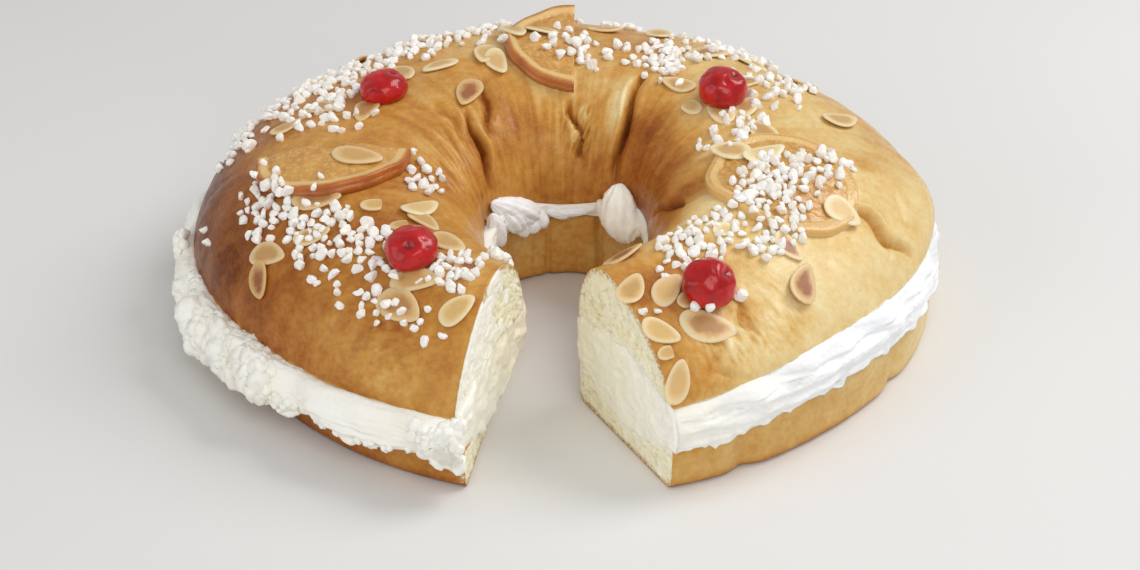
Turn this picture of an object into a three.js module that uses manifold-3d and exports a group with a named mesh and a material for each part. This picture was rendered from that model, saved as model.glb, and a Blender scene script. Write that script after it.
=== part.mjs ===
// A roscon de reyes: a ring of sweet bread, sliced flat and filled with whipped cream,
// with one wedge cut out at the front. Glace cherries, candied orange slices, almond
// flakes and pearl sugar lie on the lid.
//
// Millimetres, +Z up. The base stands on z = 0 and the wedge gap faces -Y.
import * as THREE from 'three';
import { mergeVertices } from 'three/addons/utils/BufferGeometryUtils.js';
import Module from 'manifold-3d';

const wasm = await Module();
wasm.setup();
const { Manifold, Mesh } = wasm;

// ---------------------------------------------------------------- driving dimensions
const RING_RADIUS = 140;         // outer edge of the bread, about the ring's own centre
const HOLE_CENTRE = [-3, -26];   // the hole sits off centre, towards the cut
const ORIGIN_SHIFT = [6, 0.5];   // brings the middle of the whole loaf to the origin
const GAP = 0.35;                // between pieces that touch

// Values round the ring, in the order E, NE, N, NW, W, SW, S, SE. N is opposite the cut.
const LID_HOLE = [32, 38, 42, 39, 32, 38, 48, 40];     // hole's radius in the lid
const BASE_HOLE = [33, 39, 43, 39, 32, 31, 49, 42];    // hole's radius in the base
const LID_EDGE = [2, -8, -4, 2, 12, 1, 2, -8];         // lid's edge beyond RING_RADIUS
const BASE_EDGE = [3, -2, -3, 0, 0, -1, 1, -3];        // base's edge beyond RING_RADIUS
const CREAM_EDGE = [5, -3, 1, 8, 19, 12, 5, -3];       // cream's bulge beyond RING_RADIUS
const CREAM_DROP = [0, 0, 1, 2, 3, 2, 1, 0];           // cream hanging below the base's edge
const SEAM_OUT = [22, 22, 20, 16, 13, 17, 17, 23];     // top of the base, outer edge
const CREAM_OUT = [15, 15, 16, 17, 17, 11, 15, 15];    // cream's height, outer edge
const SEAM_IN = [24, 31, 29, 27, 20, 16, 18, 21];      // top of the base, at the hole
const CREAM_IN = [14, 11, 5, 14, 16, 18, 18, 16];      // cream's height, at the hole
const CREAM_INTO_HOLE = [3, 8, 1, 9, 4, 1, 0, 1];      // cream's bulge into the hole
const CREAM_HANG = [0, 6, 0, 3, 1, 0, 0, 0];           // cream hanging into the hole
const RIDGE_HEIGHT = [76, 79, 80, 79, 74, 69, 66, 70]; // highest line of the lid
const RIDGE_PLACE = [0.42, 0.42, 0.42, 0.42, 0.45, 0.42, 0.34, 0.3]; // 0 hole, 1 edge
const OUTER_FULLNESS = [1.8, 1.9, 2, 2, 1.9, 1.7, 1.5, 1.5];         // 2 is an ellipse
const INNER_FULLNESS = 2.2;
const LID_ARCH = 5;              // hollow of the lid's underside over the cream
const BASE_DISH = 0.45;          // how far the cream sinks into the base, as a share
const BASE_ROUND = 2.5;          // rounding of the base's lower edges
const BASE_CLEARANCE = 2.4;      // between the base's wall and the cream that hangs past it

// Cuts of the wedge: a line in plan, from the hole outwards.
const RIGHT_CUT = [[1.8, -74], [34.8, -135.3]];
const LEFT_CUT_LID = [[-18, -63], [-44.6, -141]];
const LEFT_CUT_CREAM = [[-20, -60], [-42, -140]];
const LEFT_CUT_BASE = [[-25, -46], [-39.4, -135.7]];
// Angles between which the lines of the ring meet the cuts.
const RIGHT_CUT_ANGLES = [-95, -40];
const LEFT_CUT_ANGLES = [-165, -93];

// Steps round the ring and across the section.
const LOFT_STEPS = { lid: 78, base: 48, cream: 78 };
const LID_LINES = { top: 14, under: 3 };
const DISH_SHARES = [0.96, 0.8, 0.55, 0.28, 0.06];

// Creases of the crust: [angle, across, angle, across, width, depth, ridge], from one end to
// the other. Angles are round the ring; across runs from 0 at the outer edge to 180 at the
// hole. The ridge is a share of the depth, on the side of greater angles or, below 0, on the
// other side.
const CREASES = [
  [89, 127, 81, 160, 4, 3, 0.6],
  [64, 104, 62, 172, 4, 3.5, 0.5],
  [120, 106, 129, 140, 4, 2.2, 0.3],
  [135, 124, 139, 168, 4.5, 3.2, -0.6],
  [143, 108, 142, 134, 4, 1.6, 0.3],
  [340, 10, 342, 50, 4.5, 3.6, 0.5],
  [338, 130, 364, 162, 4, 2.5, 0.3],
  [302, 26, 304, 48, 3.5, 2, -0.5],
  [294, 6, 294, 36, 3.5, 1.6, 0.5],
];
const BASE_CREASES = [[-63, 5, 2.5], [-28, 5, 2], [38, 6, 2], [150, 6, 2]];

const CHERRY_RADIUS = 10;
const CHERRY_SINK = 3;           // how deep a cherry sits in the lid
const CHERRIES = [               // name, place in plan, height as a share of the width
  ['cherry_back_left', -76, 29, 0.66],
  ['cherry_back_right', 59, 22, 0.82],
  ['cherry_front_left', -59, -83, 0.74],
  ['cherry_front_right', 47, -98, 0.92],
];

const SLICE_RADIUS = 29;
const SLICE_SINK = 1.2;
// Orange slices: name, centre in plan, start and end of the arc, lifted tip, thickness.
const SLICES = [
  ['orange_slice_left', -93, -15, 180, 360, 0, 6.5],
  ['orange_slice_back', 0, 67, 90, 270, 5, 6],
  ['orange_slice_right', 79, -35, 0, 360, 0, 4.2],
];

const FLAKE = { length: 18, width: 10.5, proud: 1.8, sink: 1.9, droop: 0.7, sides: 8 };
// Almond flakes that stand out: [angle, across, turn of the long axis, size].
const FLAKES = [
  [207, 42, 27, 1], [210, 31, -41, 0.85], [210, 60, 54, 0.8], [237, 52, -10, 1.15],
  [236, 66, 27, 1.05], [248, 58, 59, 0.9], [209, 112, 107, 0.95], [232, 100, 0, 0.9],
  [245, 85, 29, 0.7], [139, 82, 74, 0.9], [129, 88, -5, 0.9], [129, 113, 33, 1],
  [162, 71, 88, 0.9], [54, 72, 72, 1.2], [27, 103, 0, 0.85], [9, 92, 14, 1.05],
  [0, 108, 80, 0.95], [14, 57, -70, 1], [337, 46, -75, 0.95], [323, 54, -88, 0.8],
  [318, 38, 35, 1.05], [291, 66, 29, 0.9], [284, 74, 43, 0.9], [295, 40, -34, 1.2],
  [286, 46, -46, 0.8], [286, 21, 60, 0.9], [288, 110, -15, 0.95],
];
// Bands where more flakes lie: [angle, across, spread of angle, spread across, count].
const FLAKE_BANDS = [[150, 60, 22, 22, 5], [75, 55, 22, 14, 6], [215, 90, 16, 14, 3]];

const GRAIN_RADIUS = 2.5;
const GRAIN_SHARE = 0.1;         // only the coarsest grains of the sugar are solids here
// Patches of pearl sugar: [angle, across, spread of angle, spread across, count].
const SUGAR_PATCHES = [
  [166, 36, 7, 12, 36], [156, 55, 8, 14, 34], [142, 60, 7, 14, 40], [128, 64, 7, 12, 34],
  [112, 66, 8, 12, 24], [163, 76, 9, 10, 30], [198, 54, 6, 9, 40], [211, 64, 8, 11, 50],
  [224, 72, 7, 9, 28], [184, 124, 9, 7, 16], [241, 80, 5, 9, 24], [231, 48, 8, 6, 20],
  [85, 94, 9, 11, 28], [62, 88, 8, 14, 46], [52, 54, 8, 11, 34], [30, 72, 8, 12, 30],
  [14, 104, 9, 13, 24], [351, 68, 5, 8, 24], [336, 76, 7, 10, 64], [310, 82, 10, 12, 60],
  [323, 63, 6, 7, 24], [80, 50, 24, 12, 40],
];

const COLOURS = {
  crust: [0.62, 0.36, 0.13],
  base: [0.56, 0.33, 0.12],
  cream: [0.87, 0.86, 0.82],
  cherry: [0.42, 0.02, 0.02],
  orange: [0.58, 0.27, 0.05],
};

// ---------------------------------------------------------------- small helpers
const radians = THREE.MathUtils.degToRad;

/** Smooth value at an angle (radians) from eight values round the ring. */
function around(theta, values) {
  const count = values.length;
  const place = (((theta / (2 * Math.PI)) * count) % count + count) % count;
  const step = Math.floor(place);
  const f = place - step;
  const [a, b, c, d] = [-1, 0, 1, 2].map((k) => values[(step + k + count) % count]);
  return b + 0.5 * f * (c - a + f * (2 * a - 5 * b + 4 * c - d + f * (3 * (b - c) + d - a)));
}

/** A repeatable stream of numbers from 0 to 1. */
function seeded(seed) {
  let state = seed >>> 0;
  return () => {
    state = (Math.imul(state, 1664525) + 1013904223) >>> 0;
    return state / 4294967296;
  };
}

/** A signed power, for superellipse sections. */
function bent(x, fullness) {
  return Math.sign(x) * Math.abs(x) ** (2 / fullness);
}

function wrapped(angle) {
  return Math.atan2(Math.sin(angle), Math.cos(angle));
}

// ---------------------------------------------------------------- the ring's plan
// A point of the ring is given by an angle and by w, the distance from the hole's edge
// along the straight line that joins the hole's edge to the outer circle.
function innerPoint(theta, hole) {
  const radius = around(theta, hole);
  return [HOLE_CENTRE[0] + radius * Math.cos(theta), HOLE_CENTRE[1] + radius * Math.sin(theta)];
}

function width(theta, hole) {
  const [x, y] = innerPoint(theta, hole);
  return Math.hypot(RING_RADIUS * Math.cos(theta) - x, RING_RADIUS * Math.sin(theta) - y);
}

function plan(theta, w, hole) {
  const [x, y] = innerPoint(theta, hole);
  const dx = RING_RADIUS * Math.cos(theta) - x;
  const dy = RING_RADIUS * Math.sin(theta) - y;
  const share = w / Math.hypot(dx, dy);
  return [x + dx * share, y + dy * share];
}

/** Where a function changes sign between low and high. */
function bisected(side, low, high) {
  const sideAtLow = Math.sign(side(low));
  for (let k = 0; k < 40; k += 1) {
    const middle = (low + high) / 2;
    if (Math.sign(side(middle)) === sideAtLow) low = middle;
    else high = middle;
  }
  return (low + high) / 2;
}

/** The angle at which a line of the loft, w(theta), meets a cut. */
function angleAtCut(cut, wAt, hole, [low, high]) {
  const [[x0, y0], [x1, y1]] = cut;
  const side = (theta) => {
    const [x, y] = plan(theta, wAt(theta), hole);
    return (x - x0) * (y1 - y0) - (y - y0) * (x1 - x0);
  };
  return bisected(side, radians(low), radians(high));
}

// ---------------------------------------------------------------- the lid
function lidEdge(theta) {
  return width(theta, LID_HOLE) + around(theta, LID_EDGE);
}

/** How far the crust stands out or sinks at a place of the lid. */
function lidRelief(theta, across) {
  const a = (across * 180) / Math.PI;
  let relief = 0.8 * Math.sin(5 * theta + 1.3) * Math.sin(across * 3 + 0.6)
    + 0.6 * Math.sin(11 * theta + 2.1 + across) * Math.sin(across * 2);
  for (const [start, from, end, to, size, depth, ridge] of CREASES) {
    const t = THREE.MathUtils.clamp((a - from) / (to - from), 0, 1);
    const middle = radians(start + (end - start) * t) + 0.02 * Math.sin(t * 9);
    const [x, y] = plan(middle, width(middle, LID_HOLE) * (1 - across / Math.PI), LID_HOLE);
    const off = (wrapped(theta - middle) * Math.hypot(x - HOLE_CENTRE[0], y - HOLE_CENTRE[1])) / size;
    const ends = Math.sin(Math.PI * THREE.MathUtils.clamp((a - from) / (to - from) * 0.8 + 0.1, 0, 1));
    const inside = Math.min(1, Math.max(0, 1 - (Math.abs(a - (from + to) / 2)
      - Math.abs(to - from) / 2) / 8));
    const beside = Math.exp(-((off - 1.6 * Math.sign(ridge)) ** 2));
    relief += depth * ends * inside * (Math.abs(ridge) * beside - Math.exp(-off * off));
  }
  return relief * Math.sin(across) ** 0.5;
}

/** The lid's section without relief, [w, z], from its outer edge (0) to the hole (pi). */
function smoothLid(theta, across) {
  const edge = lidEdge(theta);
  const ridge = edge * around(theta, RIDGE_PLACE);
  const outer = Math.cos(across) > 0;
  const fullness = outer ? around(theta, OUTER_FULLNESS) : INNER_FULLNESS;
  const foot = outer
    ? around(theta, SEAM_OUT) + around(theta, CREAM_OUT)
    : around(theta, SEAM_IN) + around(theta, CREAM_IN);
  return [
    ridge + (outer ? edge - ridge : ridge) * bent(Math.cos(across), fullness),
    foot + (around(theta, RIDGE_HEIGHT) - foot) * bent(Math.max(Math.sin(across), 0), fullness),
  ];
}

function lidTop(theta, across) {
  const step = 0.01;
  const [w0, z0] = smoothLid(theta, Math.max(across - step, 0));
  const [w1, z1] = smoothLid(theta, Math.min(across + step, Math.PI));
  const [w, z] = smoothLid(theta, across);
  const length = Math.hypot(w1 - w0, z1 - z0);
  const relief = lidRelief(theta, across);
  return [w + (relief * (z1 - z0)) / length, z + (relief * (w0 - w1)) / length];
}

/** Height of the lid's underside. */
function lidUnder(theta, share) {
  const outer = around(theta, SEAM_OUT) + around(theta, CREAM_OUT);
  const inner = around(theta, SEAM_IN) + around(theta, CREAM_IN);
  return inner + (outer - inner) * share + LID_ARCH * Math.sin(Math.PI * share) ** 2;
}

function lidPoint(theta, across) {
  const [w, z] = lidTop(theta, across);
  const [x, y] = plan(theta, w, LID_HOLE);
  return new THREE.Vector3(x, y, z);
}

/** Place on the lid with its directions: along the ring, towards the hole, and outwards. */
function lidFrame(theta, across) {
  const step = 0.02;
  const at = lidPoint(theta, across);
  const along = lidPoint(theta + step, across).sub(lidPoint(theta - step, across)).normalize();
  const inwards = lidPoint(theta, across + step).sub(lidPoint(theta, across - step));
  const out = new THREE.Vector3().crossVectors(along, inwards).normalize();
  return { at, along, inwards: new THREE.Vector3().crossVectors(out, along), out };
}

/** The angle and the place across of a point given in plan. */
function lidPlace(x, y) {
  const side = (theta) => {
    const [ix, iy] = innerPoint(theta, LID_HOLE);
    const dx = RING_RADIUS * Math.cos(theta) - ix;
    const dy = RING_RADIUS * Math.sin(theta) - iy;
    return dx * (y - iy) - dy * (x - ix);
  };
  const about = Math.atan2(y, x);
  const theta = bisected(side, about - 0.8, about + 0.8);
  const [ix, iy] = innerPoint(theta, LID_HOLE);
  const w = Math.hypot(x - ix, y - iy);
  const edge = lidEdge(theta);
  const ridge = edge * around(theta, RIDGE_PLACE);
  const outer = w > ridge;
  const share = Math.min(Math.abs(w - ridge) / (outer ? edge - ridge : ridge), 1);
  const fullness = outer ? around(theta, OUTER_FULLNESS) : INNER_FULLNESS;
  return [theta, Math.acos((outer ? 1 : -1) * share ** (fullness / 2))];
}

// ---------------------------------------------------------------- the base
function baseRim(theta) {
  return width(theta, BASE_HOLE) + around(theta, BASE_EDGE);
}

function baseWall(theta) {
  let edge = baseRim(theta);
  for (const [angle, size, depth] of BASE_CREASES) {
    const off = (wrapped(theta - radians(angle)) * RING_RADIUS) / size;
    edge -= depth * Math.exp(-off * off);
  }
  return edge;
}

/** Height of the base's top, which the cream has sunk into. */
function baseTop(theta, share) {
  const seam = around(theta, SEAM_IN) + (around(theta, SEAM_OUT) - around(theta, SEAM_IN)) * share;
  return seam * (1 - BASE_DISH * Math.sin(Math.PI * share));
}

// ---------------------------------------------------------------- lofting round the ring
/**
 * A closed solid round the ring, from the right cut to the left cut. The section is a
 * list of lines, each a function of the angle that gives [w, z]; both ends lie flat on
 * their cuts.
 */
function ringSolid(lines, leftCut, steps) {
  const rings = lines.map(({ hole, at }) => {
    const wAt = (theta) => at(theta)[0];
    const start = angleAtCut(RIGHT_CUT, wAt, hole, RIGHT_CUT_ANGLES);
    const end = angleAtCut(leftCut, wAt, hole, LEFT_CUT_ANGLES) + 2 * Math.PI;
    return Array.from({ length: steps + 1 }, (_, i) => {
      const theta = start + ((end - start) * i) / steps;
      const [w, z] = at(theta);
      return [...plan(theta, w, hole), z];
    });
  });
  const count = lines.length;
  const vertices = [];
  for (let i = 0; i <= steps; i += 1) rings.forEach((ring) => vertices.push(...ring[i]));
  const faces = [];
  for (let i = 0; i < steps; i += 1) {
    for (let j = 0; j < count; j += 1) {
      const a = i * count + j;
      const b = i * count + ((j + 1) % count);
      faces.push(a, b, b + count, a, b + count, a + count);
    }
  }
  for (const [i, atStart] of [[0, true], [steps, false]]) {
    const [x0, y0] = rings[0][i];
    const outline = rings.map((ring) => {
      const [x, y, z] = ring[i];
      return new THREE.Vector2(Math.hypot(x - x0, y - y0) * Math.sign(y - y0 || 1), z);
    });
    const flip = atStart === THREE.ShapeUtils.area(outline) < 0;
    for (const [a, b, c] of THREE.ShapeUtils.triangulateShape(outline, [])) {
      const corner = [a, b, c].map((k) => i * count + k);
      faces.push(...(flip ? corner : corner.reverse()));
    }
  }
  return facing(vertices, faces);
}

/** A geometry from vertices and faces, turned so that its faces point outwards. */
function facing(vertices, faces) {
  const geometry = new THREE.BufferGeometry();
  geometry.setAttribute('position', new THREE.Float32BufferAttribute(vertices, 3));
  const corner = (k) => new THREE.Vector3(...vertices.slice(3 * k, 3 * k + 3));
  let volume = 0;
  for (let f = 0; f < faces.length; f += 3) {
    const [a, b, c] = [corner(faces[f]), corner(faces[f + 1]), corner(faces[f + 2])];
    volume += a.dot(b.cross(c));
  }
  geometry.setIndex(volume > 0 ? faces : [...faces].reverse());
  return geometry;
}

// ---------------------------------------------------------------- booleans
function toSolid(geometry) {
  const bare = geometry.clone();
  bare.deleteAttribute('normal');
  bare.deleteAttribute('uv');
  const merged = mergeVertices(bare, 1e-4);
  return new Manifold(new Mesh({
    numProp: 3,
    vertProperties: new Float32Array(merged.attributes.position.array),
    triVerts: new Uint32Array(merged.index.array),
  }));
}

function fromSolid(solid) {
  const mesh = solid.getMesh();
  const geometry = new THREE.BufferGeometry();
  geometry.setAttribute('position', new THREE.Float32BufferAttribute(mesh.vertProperties, 3));
  geometry.setIndex(Array.from(mesh.triVerts));
  return geometry;
}

// ---------------------------------------------------------------- bread and cream
function lidGeometry() {
  const lines = [];
  for (let j = 0; j <= LID_LINES.top; j += 1) {
    const across = (Math.PI * j) / LID_LINES.top;
    lines.push({ hole: LID_HOLE, at: (theta) => lidTop(theta, across) });
  }
  for (let j = 1; j < LID_LINES.under; j += 1) {
    const share = j / LID_LINES.under;
    lines.push({
      hole: LID_HOLE,
      at: (theta) => [lidEdge(theta) * share, lidUnder(theta, share)],
    });
  }
  return ringSolid(lines, LEFT_CUT_LID, LOFT_STEPS.lid);
}

function baseGeometry() {
  const lines = [];
  const add = (at) => lines.push({ hole: BASE_HOLE, at });
  add((theta) => [baseWall(theta) - BASE_ROUND, 0]);
  add((theta) => [baseWall(theta), 3]);
  add((theta) => [baseWall(theta) + 0.8, around(theta, SEAM_OUT) - 3]);
  add((theta) => [baseRim(theta) - 0.3, baseTop(theta, 1) - 0.6]);
  for (const share of DISH_SHARES) {
    add((theta) => [baseRim(theta) * share, baseTop(theta, share)]);
  }
  add((theta) => [-0.6, around(theta, SEAM_IN) - 3]);
  add(() => [0, 3]);
  add(() => [BASE_ROUND, 0]);
  return ringSolid(lines, LEFT_CUT_BASE, LOFT_STEPS.base);
}

/** Ruffles that the spatula and the piping leave in the cream's edge. */
function ruffle(theta, height) {
  return 1.5 * Math.sin(23 * theta + 2 * height) + Math.sin(37 * theta + 1 + 3 * height)
    + 0.7 * Math.sin(9 * theta + 0.5);
}

function creamGeometry() {
  const lines = [];
  const addUpper = (at) => lines.push({ hole: LID_HOLE, at });
  const addLower = (at) => lines.push({ hole: BASE_HOLE, at });
  const outside = (theta, lean, height) => width(theta, LID_HOLE)
    + around(theta, CREAM_EDGE) + lean + ruffle(theta, height);
  // From under the lid's edge, over the outer bulge, down to the base's edge.
  addUpper((theta) => [lidEdge(theta) - 2, lidUnder(theta, 1) - GAP]);
  for (const [height, lean] of [[0.92, -2.5], [0.5, 0.5], [0, -3]]) {
    addUpper((theta) => {
      const low = around(theta, SEAM_OUT) - around(theta, CREAM_DROP) - 0.4;
      const high = around(theta, SEAM_OUT) + around(theta, CREAM_OUT) - 1;
      const clear = width(theta, LID_HOLE) + around(theta, BASE_EDGE) + BASE_CLEARANCE;
      const reach = outside(theta, lean, height);
      return [height > 0.6 ? reach : Math.max(reach, clear), low + (high - low) * height];
    });
  }
  addLower((theta) => [baseRim(theta) + 1.5, baseTop(theta, 1) - 0.3]);
  addLower((theta) => [baseRim(theta) - 0.3, baseTop(theta, 1) + GAP]);
  for (const share of DISH_SHARES) {
    addLower((theta) => [baseRim(theta) * share, baseTop(theta, share) + GAP]);
  }
  // Over the base's edge into the hole, and up to the lid again.
  addLower((theta) => [-1, around(theta, SEAM_IN) + GAP]);
  for (const [height, lean] of [[0, -0.3], [0.7, 0.5]]) {
    addLower((theta) => {
      const low = around(theta, SEAM_IN) + 0.5 - around(theta, CREAM_HANG) * (1 - height);
      const reach = around(theta, CREAM_INTO_HOLE) + 0.5 * ruffle(theta, height);
      return [-1.3 - lean - Math.max(reach, 0), low + around(theta, CREAM_IN) * height];
    });
  }
  for (const share of [0.04, 0.3, 0.7]) {
    addUpper((theta) => [lidEdge(theta) * share, lidUnder(theta, share) - GAP]);
  }
  return ringSolid(lines, LEFT_CUT_CREAM, LOFT_STEPS.cream);
}

// ---------------------------------------------------------------- cherries and slices
function cherryGeometry(height, grow) {
  const geometry = new THREE.SphereGeometry(CHERRY_RADIUS + grow, 12, 8);
  geometry.rotateX(Math.PI / 2);
  const place = geometry.attributes.position;
  for (let k = 0; k < place.count; k += 1) {
    const [x, y, z] = [place.getX(k), place.getY(k), place.getZ(k)];
    const dimple = 1.6 * Math.exp(-(x * x + y * y) / 6) * (z > 0 ? 1 : 0);
    place.setXYZ(k, x * 1.03, y, z * height - dimple);
  }
  return geometry;
}

function cherryFrame(x, y, height) {
  const { at, out } = lidFrame(...lidPlace(x, y));
  const turn = new THREE.Quaternion().setFromUnitVectors(new THREE.Vector3(0, 0, 1), out);
  return { position: at.addScaledVector(out, CHERRY_RADIUS * height - CHERRY_SINK), turn };
}

/** A candied slice that follows the curve of the lid, in the ring's frame. */
function sliceGeometry([, x, y, from, to, lift, thickness], grow) {
  const whole = to - from === 360;
  const arcSteps = whole ? 24 : 13;
  const radius = SLICE_RADIUS + grow;
  const low = -SLICE_SINK - grow;
  const high = thickness - SLICE_SINK;
  // Rings of the slice: [share of the radius, height]; the rind stands above the flesh.
  const rings = [[0.5, high - 0.8], [0.84, high - 0.7], [0.93, high], [1, (low + high) / 2],
    [0.96, low], [0.5, low]];
  const outline = [];
  for (let k = 0; k < arcSteps + (whole ? 0 : 1); k += 1) {
    const angle = radians(from + ((to - from) * k) / arcSteps);
    outline.push([Math.cos(angle), Math.sin(angle)]);
  }
  if (!whole) {
    const [ax, ay] = outline[arcSteps];
    const [bx, by] = outline[0];
    for (const t of [0.25, 0.5, 0.75]) outline.push([ax + (bx - ax) * t, ay + (by - ay) * t]);
  }
  const middle = whole ? 0 : radius * 0.42;
  const bisector = radians((from + to) / 2);
  const centre = [middle * Math.cos(bisector), middle * Math.sin(bisector)];
  const vertices = [];
  const add = (dx, dy, height) => {
    const { at, out } = lidFrame(...lidPlace(x + dx, y + dy));
    const tip = lift * Math.max(0, (dy / radius - 0.35) / 0.65) ** 2;
    const point = at.addScaledVector(out, height + tip);
    vertices.push(point.x, point.y, point.z);
  };
  add(...centre, rings[0][1]);
  for (const [share, height] of rings) {
    for (const [ux, uy] of outline) {
      add(centre[0] + (ux * radius - centre[0]) * share,
        centre[1] + (uy * radius - centre[1]) * share, height);
    }
  }
  add(...centre, rings[rings.length - 1][1]);
  const count = outline.length;
  const last = 1 + rings.length * count;
  const faces = [];
  for (let k = 0; k < count; k += 1) {
    const next = (k + 1) % count;
    faces.push(0, 1 + k, 1 + next);
    for (let r = 0; r < rings.length - 1; r += 1) {
      const a = 1 + r * count;
      const b = a + count;
      faces.push(a + k, b + k, b + next, a + k, b + next, a + next);
    }
    faces.push(last, last - count + next, last - count + k);
  }
  return facing(vertices, faces);
}

/** True where a small topping of a given reach would touch a cherry or a slice. */
function crowded(point, reach) {
  const nearCherry = CHERRIES.some(([, x, y, height]) => {
    const { position } = cherryFrame(x, y, height);
    return position.distanceTo(point) < CHERRY_RADIUS + reach + 1;
  });
  const nearSlice = SLICES.some(([, x, y, from, to]) => {
    const [dx, dy] = [point.x - x, point.y - y];
    const room = reach + 1.5;
    if (Math.hypot(dx, dy) > SLICE_RADIUS + room) return false;
    const bisector = radians((from + to) / 2);
    return to - from === 360 || dx * Math.cos(bisector) + dy * Math.sin(bisector) > -room;
  });
  return nearCherry || nearSlice;
}

/** True where a topping would hang over an end of the lid. */
function offTheEnd(point, reach) {
  return [RIGHT_CUT, LEFT_CUT_LID].some(([[x0, y0], [x1, y1]], k) => {
    const length = Math.hypot(x1 - x0, y1 - y0);
    const side = ((point.x - x0) * (y1 - y0) - (point.y - y0) * (x1 - x0)) / length;
    return point.y < HOLE_CENTRE[1] && (k === 0 ? side > -reach && point.x > -6
      : side < reach && point.x <= -6);
  });
}

// ---------------------------------------------------------------- small toppings
/** An almond flake: a thin oval with one pointed end, sunk a little into the crust. */
function flakeGeometry(frame, turn, size) {
  const { length, width: broad, proud, sink, droop, sides } = FLAKE;
  const { at, along, inwards, out } = frame;
  const forward = along.clone().multiplyScalar(Math.cos(turn))
    .addScaledVector(inwards, Math.sin(turn));
  const sideways = new THREE.Vector3().crossVectors(out, forward);
  const vertices = [];
  const add = (u, v, height) => {
    const point = at.clone().addScaledVector(forward, (u * length * size) / 2)
      .addScaledVector(sideways, (v * broad * size) / 2)
      .addScaledVector(out, height - droop * (u * u + 0.4 * v * v));
    vertices.push(point.x, point.y, point.z);
  };
  for (const [height, middle] of [[proud, proud + droop * 0.3], [-sink, -sink]]) {
    add(0, 0, middle);
    for (let k = 0; k < sides; k += 1) {
      const angle = (2 * Math.PI * k) / sides;
      add(Math.cos(angle), Math.sin(angle) * (1 - 0.3 * Math.cos(angle)), height);
    }
  }
  const faces = [];
  for (let k = 0; k < sides; k += 1) {
    const next = (k + 1) % sides;
    const [a, b] = [1 + k, 1 + next];
    const [c, d] = [a + sides + 1, b + sides + 1];
    faces.push(0, a, b, sides + 1, d, c, a, c, d, a, d, b);
  }
  return facing(vertices, faces);
}

/** A grain of pearl sugar: an uneven lump. */
function grainGeometry(frame, draw) {
  const geometry = mergeVertices((() => {
    const lump = new THREE.IcosahedronGeometry(GRAIN_RADIUS, 0);
    lump.deleteAttribute('normal');
    lump.deleteAttribute('uv');
    return lump;
  })(), 1e-3);
  const place = geometry.attributes.position;
  const turn = new THREE.Euler(draw() * 6, draw() * 6, draw() * 6);
  const centre = frame.at.clone().addScaledVector(frame.out, GRAIN_RADIUS * 0.45);
  for (let k = 0; k < place.count; k += 1) {
    const point = new THREE.Vector3().fromBufferAttribute(place, k);
    point.multiplyScalar(0.85 + 0.35 * draw()).applyEuler(turn).add(centre);
    place.setXYZ(k, point.x, point.y, point.z);
  }
  return geometry;
}

/** Spreads toppings over patches, at least `apart` from one another. */
function spread(patches, share, apart, draw) {
  const places = [];
  for (const [angle, across, angleSpread, acrossSpread, count] of patches) {
    const wanted = Math.max(1, Math.round(count * share));
    let placed = 0;
    for (let attempt = 0; attempt < wanted * 12 && placed < wanted; attempt += 1) {
      const theta = radians(angle + angleSpread * (draw() + draw() + draw() - 1.5) * 1.3);
      const phi = radians(across + acrossSpread * (draw() + draw() + draw() - 1.5) * 1.3);
      const frame = lidFrame(theta, phi);
      const clear = places.every((other) => other.at.distanceTo(frame.at) > apart);
      if (clear && !crowded(frame.at, apart * 0.45) && !offTheEnd(frame.at, apart * 0.45)) {
        places.push(frame);
        placed += 1;
      }
    }
  }
  return places;
}

function lidWithToppings() {
  const pieces = [toSolid(lidGeometry())];
  for (const [angle, across, turn, size] of FLAKES) {
    const frame = lidFrame(radians(angle), radians(across));
    if (crowded(frame.at, FLAKE.length * size * 0.5) || offTheEnd(frame.at, 8)) continue;
    pieces.push(toSolid(flakeGeometry(frame, radians(turn), size)));
  }
  const draw = seeded(6);
  for (const frame of spread(FLAKE_BANDS, 1, FLAKE.length, draw)) {
    pieces.push(toSolid(flakeGeometry(frame, draw() * Math.PI, 0.8 + 0.3 * draw())));
  }
  for (const frame of spread(SUGAR_PATCHES, GRAIN_SHARE, 7, draw)) {
    pieces.push(toSolid(grainGeometry(frame, draw)));
  }
  let lid = Manifold.union(pieces);
  for (const slice of SLICES) lid = lid.subtract(toSolid(sliceGeometry(slice, GAP)));
  for (const [, x, y, height] of CHERRIES) {
    const { position, turn } = cherryFrame(x, y, height);
    const socket = cherryGeometry(height, GAP).applyQuaternion(turn);
    lid = lid.subtract(toSolid(socket.translate(position.x, position.y, position.z)));
  }
  return fromSolid(lid);
}

// ---------------------------------------------------------------- the object
function material(colour, roughness) {
  return new THREE.MeshStandardMaterial({
    color: new THREE.Color().setRGB(...colour),
    roughness,
    metalness: 0,
  });
}

const crust = material(COLOURS.crust, 0.35);
const cherryRed = material(COLOURS.cherry, 0.12);
const candied = material(COLOURS.orange, 0.25);

const roscon = new THREE.Group();
roscon.position.set(...ORIGIN_SHIFT, 0);

function add(name, geometry, look) {
  const mesh = new THREE.Mesh(geometry, look);
  mesh.name = name;
  roscon.add(mesh);
  return mesh;
}

add('bread_base', baseGeometry(), material(COLOURS.base, 0.55));
add('cream_filling', creamGeometry(), material(COLOURS.cream, 0.5));
add('bread_top', lidWithToppings(), crust);
for (const [name, x, y, height] of CHERRIES) {
  const { position, turn } = cherryFrame(x, y, height);
  const cherry = add(name, cherryGeometry(height, 0), cherryRed);
  cherry.position.copy(position);
  cherry.quaternion.copy(turn);
}
for (const slice of SLICES) add(slice[0], sliceGeometry(slice, 0), candied);

export default roscon;
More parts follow.
